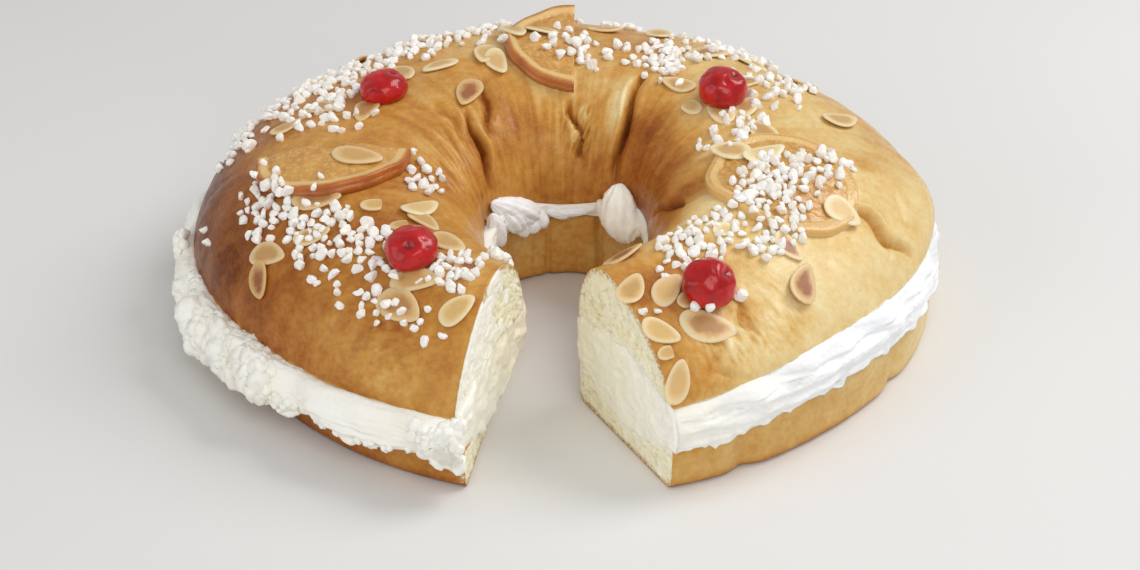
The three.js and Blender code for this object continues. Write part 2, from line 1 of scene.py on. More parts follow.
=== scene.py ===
"""A roscon de reyes: a ring of sweet bread filled with whipped cream, with one wedge cut out.

The shapes are worked out in millimetres about the ring's own centre, from the same driving
dimensions as the solids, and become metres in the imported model's frame when a piece is made.
"""
import math

import bmesh
import bpy
import numpy as np
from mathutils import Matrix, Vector, noise
from mathutils.geometry import tessellate_polygon


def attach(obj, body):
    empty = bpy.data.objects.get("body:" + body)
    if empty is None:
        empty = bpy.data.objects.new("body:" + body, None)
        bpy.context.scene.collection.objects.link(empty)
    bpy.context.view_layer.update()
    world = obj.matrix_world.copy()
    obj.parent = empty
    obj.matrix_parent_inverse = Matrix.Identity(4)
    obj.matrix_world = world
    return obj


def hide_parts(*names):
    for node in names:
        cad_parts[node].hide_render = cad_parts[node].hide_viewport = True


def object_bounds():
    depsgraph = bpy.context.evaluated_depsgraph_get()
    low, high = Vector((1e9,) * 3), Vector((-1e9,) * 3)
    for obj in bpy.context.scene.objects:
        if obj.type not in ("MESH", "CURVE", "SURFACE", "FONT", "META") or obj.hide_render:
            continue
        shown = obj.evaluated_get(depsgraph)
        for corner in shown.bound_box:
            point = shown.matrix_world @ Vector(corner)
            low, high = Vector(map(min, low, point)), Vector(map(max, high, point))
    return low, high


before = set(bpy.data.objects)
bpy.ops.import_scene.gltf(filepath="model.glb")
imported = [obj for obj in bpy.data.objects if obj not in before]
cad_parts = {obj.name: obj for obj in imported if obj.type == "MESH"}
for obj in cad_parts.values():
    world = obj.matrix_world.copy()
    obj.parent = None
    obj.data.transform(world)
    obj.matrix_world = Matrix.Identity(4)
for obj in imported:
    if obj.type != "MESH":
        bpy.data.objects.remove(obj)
cad_box = [list(corner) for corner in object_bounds()]

MM = 0.001

# ------------------------------------------------------------ driving dimensions, in mm
RING_RADIUS = 140.0
HOLE_CENTRE = (-3.0, -26.0)
ORIGIN_SHIFT = np.array([6.0, 0.5, 0.0])

# Values round the ring, in the order E, NE, N, NW, W, SW, S, SE. N is opposite the cut.
LID_HOLE = (32, 38, 42, 39, 32, 38, 48, 40)  # radius of the hole in each bread
BASE_HOLE = (33, 39, 43, 39, 32, 31, 49, 42)
LID_EDGE = (2, -8, -4, 2, 12, 1, 2, -8)  # how far each layer stands out of the ring
BASE_EDGE = (3, -2, -3, 0, 0, -1, 1, -3)
CREAM_EDGE = (5, -3, 1, 8, 19, 12, 5, -3)
CREAM_DROP = (0, 0, 1, 2, 3, 2, 1, 0)  # how far the cream hangs over the base
SEAM_OUT = (22, 22, 20, 16, 13, 17, 17, 23)  # top of the base, outside and in the hole
SEAM_IN = (24, 31, 29, 27, 20, 16, 18, 21)
CREAM_OUT = (15, 15, 16, 17, 17, 11, 15, 15)  # height of the cream there
CREAM_IN = (14, 11, 5, 14, 16, 18, 18, 16)
CREAM_INTO_HOLE = (0, 1, 1, 5, 2, 1, 0, 1)
LID_FOOT_OUT = np.add(SEAM_OUT, CREAM_OUT)
LID_FOOT_IN = np.add(SEAM_IN, CREAM_IN)
RIDGE_HEIGHT = (76, 79, 80, 79, 74, 69, 66, 70)  # the lid's crown
RIDGE_PLACE = (0.42, 0.42, 0.42, 0.42, 0.45, 0.42, 0.34, 0.3)  # as a share of its width
OUTER_FULLNESS = (1.8, 1.9, 2, 2, 1.9, 1.7, 1.5, 1.5)  # power of its superellipse
INNER_FULLNESS = 2.2
LID_ARCH = 5
BASE_DISH = 0.45
BASE_CLEARANCE = 2.4

# Each cut runs outwards from its first point in plan.
RIGHT_CUT = ((1.8, -74), (34.8, -135.3))
LEFT_CUT_LID = ((-18, -63), (-44.6, -141))
LEFT_CUT_CREAM = ((-20, -60), (-42, -140))
LEFT_CUT_BASE = ((-25, -46), (-39.4, -135.7))

# Creases: angle, across, angle, across (degrees, from end to end), width, depth, and the
# ridge beside it, as a share of the depth, on the side of greater or (below 0) lesser angles.
CREASES = (
    (89, 127, 81, 160, 4, 3, 0.6), (64, 104, 62, 172, 4, 3.5, 0.5),
    (120, 106, 129, 140, 4, 2.2, 0.3), (135, 124, 139, 168, 4.5, 3.2, -0.6),
    (143, 108, 142, 134, 4, 1.6, 0.3), (341, 10, 342, 50, 3.2, 3.4, 0.5),
    (338, 130, 364, 162, 4, 2.5, 0.3), (302, 26, 304, 48, 3, 2, -0.5),
    (294, 6, 294, 36, 3, 1.6, 0.5), (345, 16, 350, 40, 2, 1.1, 0.4),
    (336, 12, 339, 30, 2, 1, 0.4),
)
# Upright creases of the base's two walls: angle, width, depth.
HOLE_CREASES = ((72, 1.3, 3.0), (100, 0.9, 1.4), (118, 3, 0.8), (86, 4, 0.6), (108, 0.8, 0.5))
BASE_CREASES = ((-63, 5, 2.5), (-28, 5, 2), (38, 6, 2), (150, 6, 2))

CHERRY_RADIUS = 10
CHERRY_SINK = 3
CHERRIES = {  # place in plan, height as a share of the width, turn of the stalk's dimple
    "cherry_back_left": (-76, 29, 0.66, 2.6), "cherry_back_right": (59, 22, 0.82, -2.2),
    "cherry_front_left": (-59, -83, 0.74, -0.9), "cherry_front_right": (47, -98, 0.92, -0.6),
}

SLICE_RADIUS = 29
SLICE_SINK = 1.2
SLICES = {  # centre in plan, start and end of the arc, lifted tip, thickness, paleness
    "orange_slice_left": (-93, -15, 180, 360, 0, 6.5, 0),
    "orange_slice_back": (0, 67, 90, 270, 5, 6, 0.1),
    "orange_slice_right": (79, -35, 0, 360, 0, 4.2, 0.85),
}


# ------------------------------------------------------------ plan and sections
def around(theta, values):
    """Smooth value at an angle (radians) from eight values round the ring."""
    values = np.asarray(values, float)
    count = len(values)
    place = (np.asarray(theta, float) / (2 * np.pi) * count) % count
    step = np.floor(place).astype(int)
    f = place - step
    a, b, c, d = (values[(step + k) % count] for k in (-1, 0, 1, 2))
    return b + 0.5 * f * (c - a + f * (2 * a - 5 * b + 4 * c - d + f * (3 * (b - c) + d - a)))


def bent(x, fullness):
    """A signed power, for superellipse sections."""
    return np.sign(x) * np.abs(x) ** (2 / fullness)


def wrapped(angle):
    return np.arctan2(np.sin(angle), np.cos(angle))


def from_angle(theta, degrees):
    """The angle, in radians, from a place round the ring that is given in degrees."""
    return wrapped(theta - np.radians(degrees))


def step_up(x, low, high):
    """0 below low, 1 above high, and smooth between them."""
    t = np.clip((x - low) / (high - low), 0, 1)
    return t * t * (3 - 2 * t)


def bump_at(x, middle, reach):
    """1 at the middle, falling smoothly to 0 at the reach."""
    return 1 - step_up(np.abs(x - middle), 0, reach)


def spoke(theta, hole):
    """The line from the hole's edge out to the ring: where it starts, and its run."""
    radius = around(theta, hole)
    x, y = HOLE_CENTRE[0] + radius * np.cos(theta), HOLE_CENTRE[1] + radius * np.sin(theta)
    return x, y, RING_RADIUS * np.cos(theta) - x, RING_RADIUS * np.sin(theta) - y


def width(theta, hole):
    return np.hypot(*spoke(theta, hole)[2:])


def plan(theta, w, hole):
    """x and y of a place that lies w outwards from the hole's edge."""
    x, y, dx, dy = spoke(theta, hole)
    share = w / np.hypot(dx, dy)
    return x + dx * share, y + dy * share


def off_cut(x, y, cut):
    """Distance in plan from the line of a cut, above 0 on its +X side."""
    (x0, y0), (x1, y1) = cut
    return ((y - y0) * (x1 - x0) - (x - x0) * (y1 - y0)) / math.hypot(x1 - x0, y1 - y0)


def lid_edge(theta):
    return width(theta, LID_HOLE) + around(theta, LID_EDGE)


def base_rim(theta):
    return width(theta, BASE_HOLE) + around(theta, BASE_EDGE)


def lid_relief(theta, across, sharp=1.0):
    """How far the crust stands out or sinks; sharp creases are narrower and deeper."""
    a = np.degrees(across)
    relief = (0.8 * np.sin(5 * theta + 1.3) * np.sin(across * 3 + 0.6)
              + 0.6 * np.sin(11 * theta + 2.1 + across) * np.sin(across * 2))
    for start, low, end, high, size, depth, ridge in CREASES:
        run = (a - low) / (high - low)
        t = np.clip(run, 0, 1)
        middle = np.radians(start + (end - start) * t) + 0.02 * np.sin(t * 9)
        x, y = plan(middle, width(middle, LID_HOLE) * (1 - across / np.pi), LID_HOLE)
        reach = np.hypot(x - HOLE_CENTRE[0], y - HOLE_CENTRE[1])
        off = wrapped(theta - middle) * reach / size
        ends = np.sin(np.pi * np.clip(run * 0.8 + 0.1, 0, 1))
        inside = np.clip(1 - (np.abs(a - (low + high) / 2) - abs(high - low) / 2) / 8, 0, 1)
        keen = (sharp - 1) * min(1, (depth / 3) ** 2)
        valley = np.exp(-off * off) + keen * np.exp(-(3 * off) ** 2)
        tight = 1 + 0.5 * keen
        beside = np.sqrt(tight) * np.exp(-(tight * off - 1.6 * np.sign(ridge)) ** 2)
        relief = relief + depth * ends * inside * (abs(ridge) * beside - valley)
    return relief * np.sqrt(np.sin(across))


def lid_half(theta, outer):
    """The lid's edge and crown, and the fullness of one side of the crown."""
    edge = lid_edge(theta)
    fullness = np.where(outer, around(theta, OUTER_FULLNESS), INNER_FULLNESS)
    return edge, edge * around(theta, RIDGE_PLACE), fullness


def smooth_lid(theta, across):
    """The lid's section without relief, from its outer edge (0) to the hole (pi)."""
    outer = np.cos(across) > 0
    edge, ridge, fullness = lid_half(theta, outer)
    foot = np.where(outer, around(theta, LID_FOOT_OUT), around(theta, LID_FOOT_IN))
    rise = bent(np.maximum(np.sin(across), 0), fullness)
    w = ridge + np.where(outer, edge - ridge, ridge) * bent(np.cos(across), fullness)
    return w, foot + (around(theta, RIDGE_HEIGHT) - foot) * rise


def lid_top(theta, across, sharp=1.0):
    """The lid's section with its relief, which stands square to it."""
    step = 0.01
    w0, z0 = smooth_lid(theta, np.maximum(across - step, 0))
    w1, z1 = smooth_lid(theta, np.minimum(across + step, np.pi))
    w, z = smooth_lid(theta, across)
    rise = lid_relief(theta, across, sharp) / np.hypot(w1 - w0, z1 - z0)
    return w + rise * (z1 - z0), z + rise * (w0 - w1)


def lid_under(theta, share):
    inner, outer = around(theta, LID_FOOT_IN), around(theta, LID_FOOT_OUT)
    return inner + (outer - inner) * share + LID_ARCH * np.sin(np.pi * share) ** 2


def grooves(theta, creases, radius):
    """Depth of upright creases at an angle, for rows of angle, width and depth."""
    return sum(depth * np.exp(-(from_angle(theta, angle) * radius / size) ** 2)
               for angle, size, depth in creases)


def base_wall(theta):
    return base_rim(theta) - grooves(theta, BASE_CREASES, RING_RADIUS)


def base_top(theta, share):
    inner = around(theta, SEAM_IN)
    seam = inner + (around(theta, SEAM_OUT) - inner) * share
    return seam * (1 - BASE_DISH * np.sin(np.pi * share))


def lid_point(theta, across):
    theta, across = np.broadcast_arrays(theta, across)
    w, z = lid_top(theta, across)
    x, y = plan(theta, w, LID_HOLE)
    return np.stack([x, y, z], -1)


def unit(vectors):
    return vectors / np.maximum(np.linalg.norm(vectors, axis=-1, keepdims=True), 1e-12)


def lid_frame(theta, across):
    """Places on the lid with their directions: along the ring, to the hole, outwards."""
    step = 0.02
    along = unit(lid_point(theta + step, across) - lid_point(theta - step, across))
    inwards = lid_point(theta, across + step) - lid_point(theta, across - step)
    out = unit(np.cross(along, inwards))
    return lid_point(theta, across), along, np.cross(out, along), out


def bisected(side, low, high):
    """Where a function of an array changes sign between low and high."""
    sign = np.sign(side(low))
    for _ in range(40):
        middle = (low + high) / 2
        same = np.sign(side(middle)) == sign
        low = np.where(same, middle, low)
        high = np.where(same, high, middle)
    return (low + high) / 2


def lid_above(x, y):
    """As lid_frame, for places given in plan."""

    def side(theta):
        ix, iy, dx, dy = spoke(theta, LID_HOLE)
        return dx * (y - iy) - dy * (x - ix)

    start = np.arctan2(y, x) - 0.8
    theta = bisected(side, start, start + 1.6)
    ix, iy, _, _ = spoke(theta, LID_HOLE)
    w = np.hypot(x - ix, y - iy)
    outer = w > lid_half(theta, True)[1]
    edge, ridge, fullness = lid_half(theta, outer)
    share = np.minimum(np.abs(w - ridge) / np.where(outer, edge - ridge, ridge), 1)
    return lid_frame(theta, np.arccos(np.where(outer, 1, -1) * share ** (fullness / 2)))


def ring_group(section, hole, lines, left_cut, steps, spacing=((0, 1), (0, 1))):
    """Some lines of a loft from the right cut to the left cut: points [steps + 1, lines, 3]
    and their angles. section(theta) gives w and z of every line; spacing sets where the
    steps lie closer together."""

    def angle_at(cut, low, high):
        return bisected(lambda theta: off_cut(*plan(theta, section(theta)[0], hole), cut),
                        np.full(lines, np.radians(low)), np.full(lines, np.radians(high)))

    start, end = angle_at(RIGHT_CUT, -95, -40), angle_at(left_cut, -165, -93)
    share = np.interp(np.linspace(0, 1, steps + 1), *spacing)[:, None]
    theta = start + (end + 2 * np.pi - start) * share
    w, z = section(theta)
    x, y = plan(theta, w, hole)
    return np.stack([x, y, z], -1), theta


# ------------------------------------------------------------ meshes
def rough(points, size, octaves=3, seed=0):
    """Smooth noise of about -1 to 1 at points in mm."""
    shift = Vector((17.3 * seed, 5.1 * seed, 9.7 * seed))
    flat = np.asarray(points, float).reshape(-1, 3)
    made = [noise.fractal(Vector(p) / size + shift, 1.0, 2.0, octaves) for p in flat]
    return np.array(made).reshape(np.shape(points)[:-1])


def flat_rough(x, y, size, octaves, seed):
    """The same over a surface that is laid out flat."""
    x, y = np.broadcast_arrays(x, y)
    return rough(np.stack([x, y, 0 * x], -1), size, octaves, seed)


def grid_faces(rows, columns, loop_columns=False):
    """Quads of a grid of points, [rows, columns]."""
    i = np.arange(rows - 1)[:, None] * columns
    j = np.arange(columns if loop_columns else columns - 1)[None, :]
    k = (j + 1) % columns
    return np.stack([i + j, i + k, i + k + columns, i + j + columns], -1).reshape(-1, 4)


def grid_normals(points):
    """Directions across a grid of points, by the right hand from rows to columns."""
    return unit(np.cross(np.gradient(points, axis=0), np.gradient(points, axis=1)))


def outward(grid):
    """Directions out of a ring surface, away from the ring's core."""
    normals = grid_normals(grid)
    core = grid.mean(1, keepdims=True)
    return normals * np.sign(((grid - core) * normals).sum(-1, keepdims=True) + 1e-9)


def outward_of_ring(grid):
    """Level directions away from the middle of the hole."""
    flat = grid - [HOLE_CENTRE[0], HOLE_CENTRE[1], 0]
    flat[..., 2] = 0
    return unit(flat)


def placed(name, data):
    """A new object in the scene."""
    made = bpy.data.objects.new(name, data)
    bpy.context.scene.collection.objects.link(made)
    return made


class Shape:
    """Points and faces of one piece, gathered from several closed parts."""

    def __init__(self):
        self.points, self.faces, self.values = [], [], {}
        self.count = 0

    def add(self, points, blocks, **values):
        """Adds a part. Its faces come in blocks of one size; values that are fewer than
        the points repeat."""
        for block in blocks:
            self.faces += (block + self.count).tolist()
        self.points.append(points)
        for name, value in values.items():
            self.values.setdefault(name, []).append(np.resize(value, len(points)))
        self.count += len(points)
        return self

    def piece(self, name, look, slot, node, smooth=True):
        """Makes the object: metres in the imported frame, riding on the body."""
        points = (within_box(np.concatenate(self.points)) + ORIGIN_SHIFT) * MM
        mesh = bpy.data.meshes.new(name)
        mesh.from_pydata(points.tolist(), [], self.faces)
        for key, parts in self.values.items():
            layer = mesh.attributes.new(key, "FLOAT", "POINT")
            layer.data.foreach_set("value", np.concatenate(parts).astype(np.float32))
        work = bmesh.new()
        work.from_mesh(mesh)
        bmesh.ops.remove_doubles(work, verts=work.verts, dist=1e-7)
        bmesh.ops.recalc_face_normals(work, faces=work.faces)
        work.to_mesh(mesh)
        work.free()
        if smooth:
            mesh.shade_smooth()
        mesh.materials.append(look)
        made = placed(name, mesh)
        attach(made, "root")
        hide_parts(node)


def within_box(points):
    """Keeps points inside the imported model's box."""
    margin = 0.02
    low, high = (np.array(corner) / MM - ORIGIN_SHIFT for corner in cad_box)
    return np.clip(points, low + [margin, margin, 0], high - margin)


def slab(front, back):
    """A closed solid from two grids of points that lie one behind the other."""
    rows, columns = front.shape[:2]
    count = rows * columns
    faces = grid_faces(rows, columns)
    rim = np.concatenate([
        np.arange(columns), np.arange(1, rows) * columns + columns - 1,
        (rows - 1) * columns + np.arange(columns - 2, -1, -1),
        np.arange(rows - 2, 0, -1) * columns,
    ])
    after = np.roll(rim, -1)
    sides = np.stack([rim, rim + count, after + count, after], -1)
    points = np.concatenate([front.reshape(-1, 3), back.reshape(-1, 3)])
    return points, [faces, faces[:, ::-1] + count, sides]


def disc(front, back):
    """A closed round plate from two grids whose rows run round it. The middle of each
    innermost row closes it, as the last two points."""
    rows, columns = front.shape[:2]
    count = rows * columns
    quads = grid_faces(rows, columns, loop_columns=True)
    j = np.arange(columns)
    k = (j + 1) % columns
    rim, middle = count - columns, 0 * j + 2 * count
    blocks = [quads, quads[:, ::-1] + count,
              np.stack([rim + j, rim + k, rim + k + count, rim + j + count], -1),
              np.stack([middle, j, k], -1), np.stack([middle + 1, count + k, count + j], -1)]
    points = [front.reshape(-1, 3), back.reshape(-1, 3), [front[0].mean(0), back[0].mean(0)]]
    return np.concatenate(points), blocks


def ball(rows, columns):
    """Directions to the points of a ball, of which the last two are its poles, and faces."""
    polar = np.linspace(0, np.pi, rows + 2)[1:-1, None]
    turn = np.linspace(0, 2 * np.pi, columns, endpoint=False)[None, :]
    belts = np.stack([np.sin(polar) * np.cos(turn), np.sin(polar) * np.sin(turn),
                      np.cos(polar) + 0 * turn], -1).reshape(-1, 3)
    j = np.arange(columns)
    k = (j + 1) % columns
    pole, last = 0 * j + rows * columns, (rows - 1) * columns
    blocks = [grid_faces(rows, columns, loop_columns=True), np.stack([pole, k, j], -1),
              np.stack([pole + 1, last + j, last + k], -1)]
    return np.concatenate([belts, [[0, 0, 1], [0, 0, -1]]]), blocks


def cut_ends(points, thickness, recess):
    """Closes both ends of a loft, [steps, lines, 3]: a flat rim as thick as the crust, and
    behind it a recessed face that the cut crumb covers."""
    steps, lines = points.shape[:2]
    flat, blocks = [points.reshape(-1, 3)], [grid_faces(steps, lines, loop_columns=True)]
    count = steps * lines
    j = np.arange(lines)
    k = (j + 1) % lines
    for row, behind in ((0, 1), (steps - 1, steps - 2)):
        outline = points[row]
        inward = unit(points[behind].mean(0) - outline.mean(0))
        across = unit(outline[lines // 2] - outline[0])
        plane = unit(np.cross(across, np.array([0.0, 0.0, 1.0])))
        plane = plane * np.sign(plane @ inward)
        tangent = np.roll(outline, -1, 0) - np.roll(outline, 1, 0)
        normal = unit(np.cross(tangent, plane))
        normal = normal * np.sign(((outline - outline.mean(0)) * normal).sum())
        rim = outline - normal * thickness
        floor = rim + plane * recess
        flat += [rim, floor]
        for a, b in ((row * lines, count), (count, count + lines)):
            quads = np.stack([a + j, b + j, b + k, a + k], -1)
            blocks.append(quads if row else quads[:, ::-1])
        middle = np.array(tessellate_polygon([[Vector(p) for p in floor]]))
        blocks.append(middle + count + lines)
        count += 2 * lines
    return np.concatenate(flat), blocks


def end_padded(values, solid):
    """Values of a loft's points, with zeros for the points that its closed ends add."""
    return np.pad(values.ravel(), (0, len(solid) - values.size))


class CutPlane:
    """The upright plane of a cut. The gap lies to one side: -1 is -X and 1 is +X."""

    def __init__(self, cut, gap_side):
        (x0, y0), (x1, y1) = cut
        length = math.hypot(x1 - x0, y1 - y0)
        self.origin = np.array([x0, y0, 0.0])
        self.along = np.array([(x1 - x0) / length, (y1 - y0) / length, 0.0])
        out = np.array([self.along[1], -self.along[0], 0.0])
        self.out = out * np.sign(out[0]) * gap_side

    def place(self, s, z, off):
        """Points at s along the cut, at a height z and off the plane into the gap."""
        s, z, off = (v[..., None] for v in np.broadcast_arrays(s, z, off))
        return self.origin + s * self.along + off * self.out + z * np.array([0.0, 0.0, 1.0])

    def face(self, end, columns, rows, inset):
        """A grid inside the outline of a loft's end: s and z, [columns, rows]."""
        a, z = (end - self.origin) @ self.along, end[:, 2]
        first, last = a.min() + inset, a.max() - inset
        s = first + (last - first) * (1 - np.cos(np.pi * np.linspace(0, 1, columns))) / 2
        low, high = envelope(a, z, s)
        middle, least = (low + high) / 2, 0.01
        low = np.minimum(low + inset, middle - least)
        high = np.maximum(high - inset, middle + least)
        z = low[:, None] + (high - low)[:, None] * np.linspace(0, 1, rows)
        return np.broadcast_to(s[:, None], z.shape), z


def envelope(a, z, s):
    """Lowest and highest z of a closed outline at places s along the cut."""
    b, y = np.roll(a, -1), np.roll(z, -1)
    low, high = np.full(len(s), np.inf), np.full(len(s), -np.inf)
    for i, place in enumerate(s):
        crossed = (np.minimum(a, b) <= place) & (place <= np.maximum(a, b)) & (a != b)
        t = (place - a[crossed]) / (b - a)[crossed]
        found = z[crossed] + (y - z)[crossed] * t
        if len(found):
            low[i], high[i] = found.min(), found.max()
    return low, high


def from_edge(s, z):
    """Distances from the ends, the low edge and the high edge of a cut's grid."""
    return (np.minimum(s - s.min(), s.max() - s), z - z.min(1, keepdims=True),
            z.max(1, keepdims=True) - z)


# ------------------------------------------------------------ bread
CRUST_THICKNESS = 0.8
CUT_RECESS = 2.2
LID_LINES, LID_UNDER_LINES, LID_STEPS = 128, 7, 665
LID_SPACING = ((0, 0.36, 1), (0, 0.2, 1))
WALL_LINES, DISH_LINES, BASE_STEPS = 26, 16, 420
SHARP_CREASE = 2.5
CRUMB_GRID = (130, 64)
CRUMB_INSET = 0.55
FADE_AT_CUT = (0.3, 5)  # the crust is smooth up to the first distance and rough from the last

# How dark the crust is painted, 0 to 1, round the ring as above: how dark it is baked, with
# painted shade that darkens the left side, away from the key light.
BAKE_AND_SHADE_OUTER = (0.3, 0.42, 0.52, 0.6, 1.0, 0.72, 0.48, 0.16)
BAKE_AND_SHADE_TOP = (0.26, 0.4, 0.45, 0.5, 0.6, 0.58, 0.5, 0.3)
BAKE_AND_SHADE_HOLE = (0.76, 0.8, 0.62, 0.6, 0.54, 0.5, 0.5, 0.64)
BAKE_AND_SHADE_BASE = (0.14, 0.4, 0.66, 0.7, 0.74, 0.74, 0.5, 0.34)
BAKE_BASE_HOLE = 0.46
BAKE_UNDER = 0.1

# Paler and darker patches, partly baked colour and partly painted highlights and painted shade:
# angle, across, reach in angle, reach across, change.
BAKE_LIGHT_AND_SHADE_SPOTS = (
    (240, 20, 13, 20, -0.12), (69, 128, 8, 30, -0.44), (95, 118, 22, 20, -0.16),
    (304, 42, 5, 14, 0.2), (290, 34, 13, 60, 0.3), (200, 26, 16, 22, 0.08),
    (84, 140, 6, 18, -0.25), (345, 128, 12, 18, 0.15), (350, 62, 22, 14, -0.06),
    (222, 74, 20, 12, 0.08), (327, 30, 16, 22, -0.06), (96, 104, 26, 22, -0.18),
    (10, 60, 18, 22, -0.1), (312, 22, 5, 14, 0.16), (20, 46, 18, 28, 0.12),
    (266, 50, 14, 40, 0.06), (357, 54, 5, 9, 0.2), (290, 66, 16, 24, 0.14),
    (355, 127, 14, 18, 0.15),
)

# Blisters of the crust by the right cut: angle, across, half sizes in mm, height.
BLISTERS = ((298, 21, 3.2, 7, 1.0), (304, 13, 2.6, 4.5, 0.7), (311, 12, 2, 4, 0.5))
LID_SECTION_LENGTH = 132  # from the outer edge over the crown to the hole
TWIST = np.array([[0.87, 0.5, 0], [-0.5, 0.87, 0], [0, 0, 1.0]])  # turns wrinkles by 30 degrees


def cut_distance(points, left_cut):
    """Distance in plan from the nearer cut of the wedge."""
    x, y = points[..., 0], points[..., 1]
    nearest = np.minimum(*(np.abs(off_cut(x, y, cut)) for cut in (RIGHT_CUT, left_cut)))
    return np.where(y < HOLE_CENTRE[1], np.minimum(nearest, RING_RADIUS), RING_RADIUS)


def bake_and_shade_level(theta, across):
    """How dark the lid's crust is painted, with streaks that run down from the crown: its baked
    colour with painted shade and painted highlights.
    """
    a = np.degrees(across)
    outer, top, hole = (around(theta, v) for v in (BAKE_AND_SHADE_OUTER, BAKE_AND_SHADE_TOP, BAKE_AND_SHADE_HOLE))
    bake_and_shade = outer + (top - outer) * step_up(a, 20, 75)
    bake_and_shade = bake_and_shade + (hole - bake_and_shade) * step_up(a, 100, 150)
    for angle, middle, angle_reach, reach, change in BAKE_LIGHT_AND_SHADE_SPOTS:
        off = np.degrees(from_angle(theta, angle))
        bake_and_shade = bake_and_shade + change * bump_at(off, 0, angle_reach) * bump_at(a, middle, reach)
    streaks = flat_rough(theta * 100, across * 6, 5, 3, 8)
    return (bake_and_shade + 0.07 * streaks) * (0.45 + 0.55 * step_up(a, 0.5, 4))


def fine_relief(points, theta, across):
    """Lumps, wrinkles and stretch marks of the crust, in mm, and how creased it is."""
    degrees, a = np.degrees(wrapped(theta)), np.degrees(across)
    skin = np.stack([theta * 100, across * 42 + 0 * theta, 0 * theta], -1)

    def patch(angle, angle_reach, middle, reach):
        return bump_at(degrees, angle, angle_reach) * bump_at(a, middle, reach)

    def wrinkles(where, size, octaves, seed, depth=3.0):
        return 1 - depth * np.abs(rough(where, size, octaves, seed))

    # Wrinkles down the front of the right lobe and across the left side of the hole.
    front = np.maximum(wrinkles(skin * [1.0, 0.3, 0], 4.2, 3, 3), -0.7)
    folds = 1.1 * patch(-60, 24, 26, 30) * front
    side = wrinkles(skin @ TWIST * [1.0, 0.3, 0], 8, 2, 5)
    folds = folds + 0.8 * patch(160, 40, 132, 26) * side
    # A crumpled patch in the hole's wall, and long fine stretch marks beside it.
    crumpled = wrinkles(skin @ TWIST * [1.0, 0.5, 0], 4.6, 2, 6, 3.2)
    folds = folds + 1.5 * patch(84, 13, 142, 24) * crumpled
    wall = step_up(a, 95, 118) * bump_at(degrees, 95, 80)
    folds = folds + 0.42 * wall * rough(skin * [1.0, 0.1, 0], 2.8, 2, 4)
    # Crackled glaze on the front of the left lobe.
    folds = folds + 0.45 * patch(-122, 18, 30, 34) * wrinkles(points, 3.6, 3, 7, 3.5)
    for angle, middle, half_along, half_across, height in BLISTERS:
        u = from_angle(theta, angle) * RING_RADIUS / half_along
        v = (a - middle) / 180 * LID_SECTION_LENGTH / half_across
        ring = np.hypot(u + 0.3 * np.sin(v * 2.3), v)
        folds = folds + height * (np.exp(-((ring - 1) / 0.28) ** 2) + 0.3 * np.exp(-ring ** 2))
    # The right lobe hangs over the fold beside it.
    lobe = 4.4 * patch(-3, 17, 14, 28) - 1.2 * patch(-25, 9, 12, 24)
    soft = 0.45 * rough(points, 15, 2, 1) + 0.1 * rough(points, 4, 2, 2)
    return soft + 0.9 * folds + lobe, folds


def lid_crust(look):
    """The lid. Gives its points, [steps, lines, 3], whose first and last rows are the cuts."""
    across = np.linspace(0, np.pi, LID_LINES)
    shares = np.linspace(0, 1, LID_UNDER_LINES + 2)[1:-1]

    def top_section(theta):
        return lid_top(theta, across, SHARP_CREASE)

    def under_section(theta):
        return lid_edge(theta) * shares, lid_under(theta, shares)

    (crown, theta), (under, _) = (
        ring_group(section, LID_HOLE, lines, LEFT_CUT_LID, LID_STEPS, LID_SPACING)
        for section, lines in ((top_section, LID_LINES), (under_section, LID_UNDER_LINES)))
    fine, folds = fine_relief(crown, theta, across)
    fade = step_up(cut_distance(crown, LEFT_CUT_LID), *FADE_AT_CUT) * np.sqrt(np.sin(across))
    crown = crown + outward(crown) * (fine * fade)[..., None]
    points = np.concatenate([crown, under], 1)
    none = np.zeros(under.shape[:2])
    bake_and_shade = np.concatenate([bake_and_shade_level(theta, across), none + BAKE_UNDER], 1)
    # Painted shade and painted light: the fold value darkens the crust in the valleys of creases
    # and wrinkles and lightens it on their ridges.
    fold = folds * 0.6 + lid_relief(theta, across, SHARP_CREASE) / 3
    fold = np.concatenate([np.clip(fold * fade, -1, 1), none], 1)
    solid, blocks = cut_ends(points, CRUST_THICKNESS, CUT_RECESS)
    shape = Shape().add(solid, blocks, bake_and_shade=end_padded(bake_and_shade, solid), fold=end_padded(fold, solid))
    shape.piece("crust_lid", look, "glazed_crust", "bread_top")
    return points


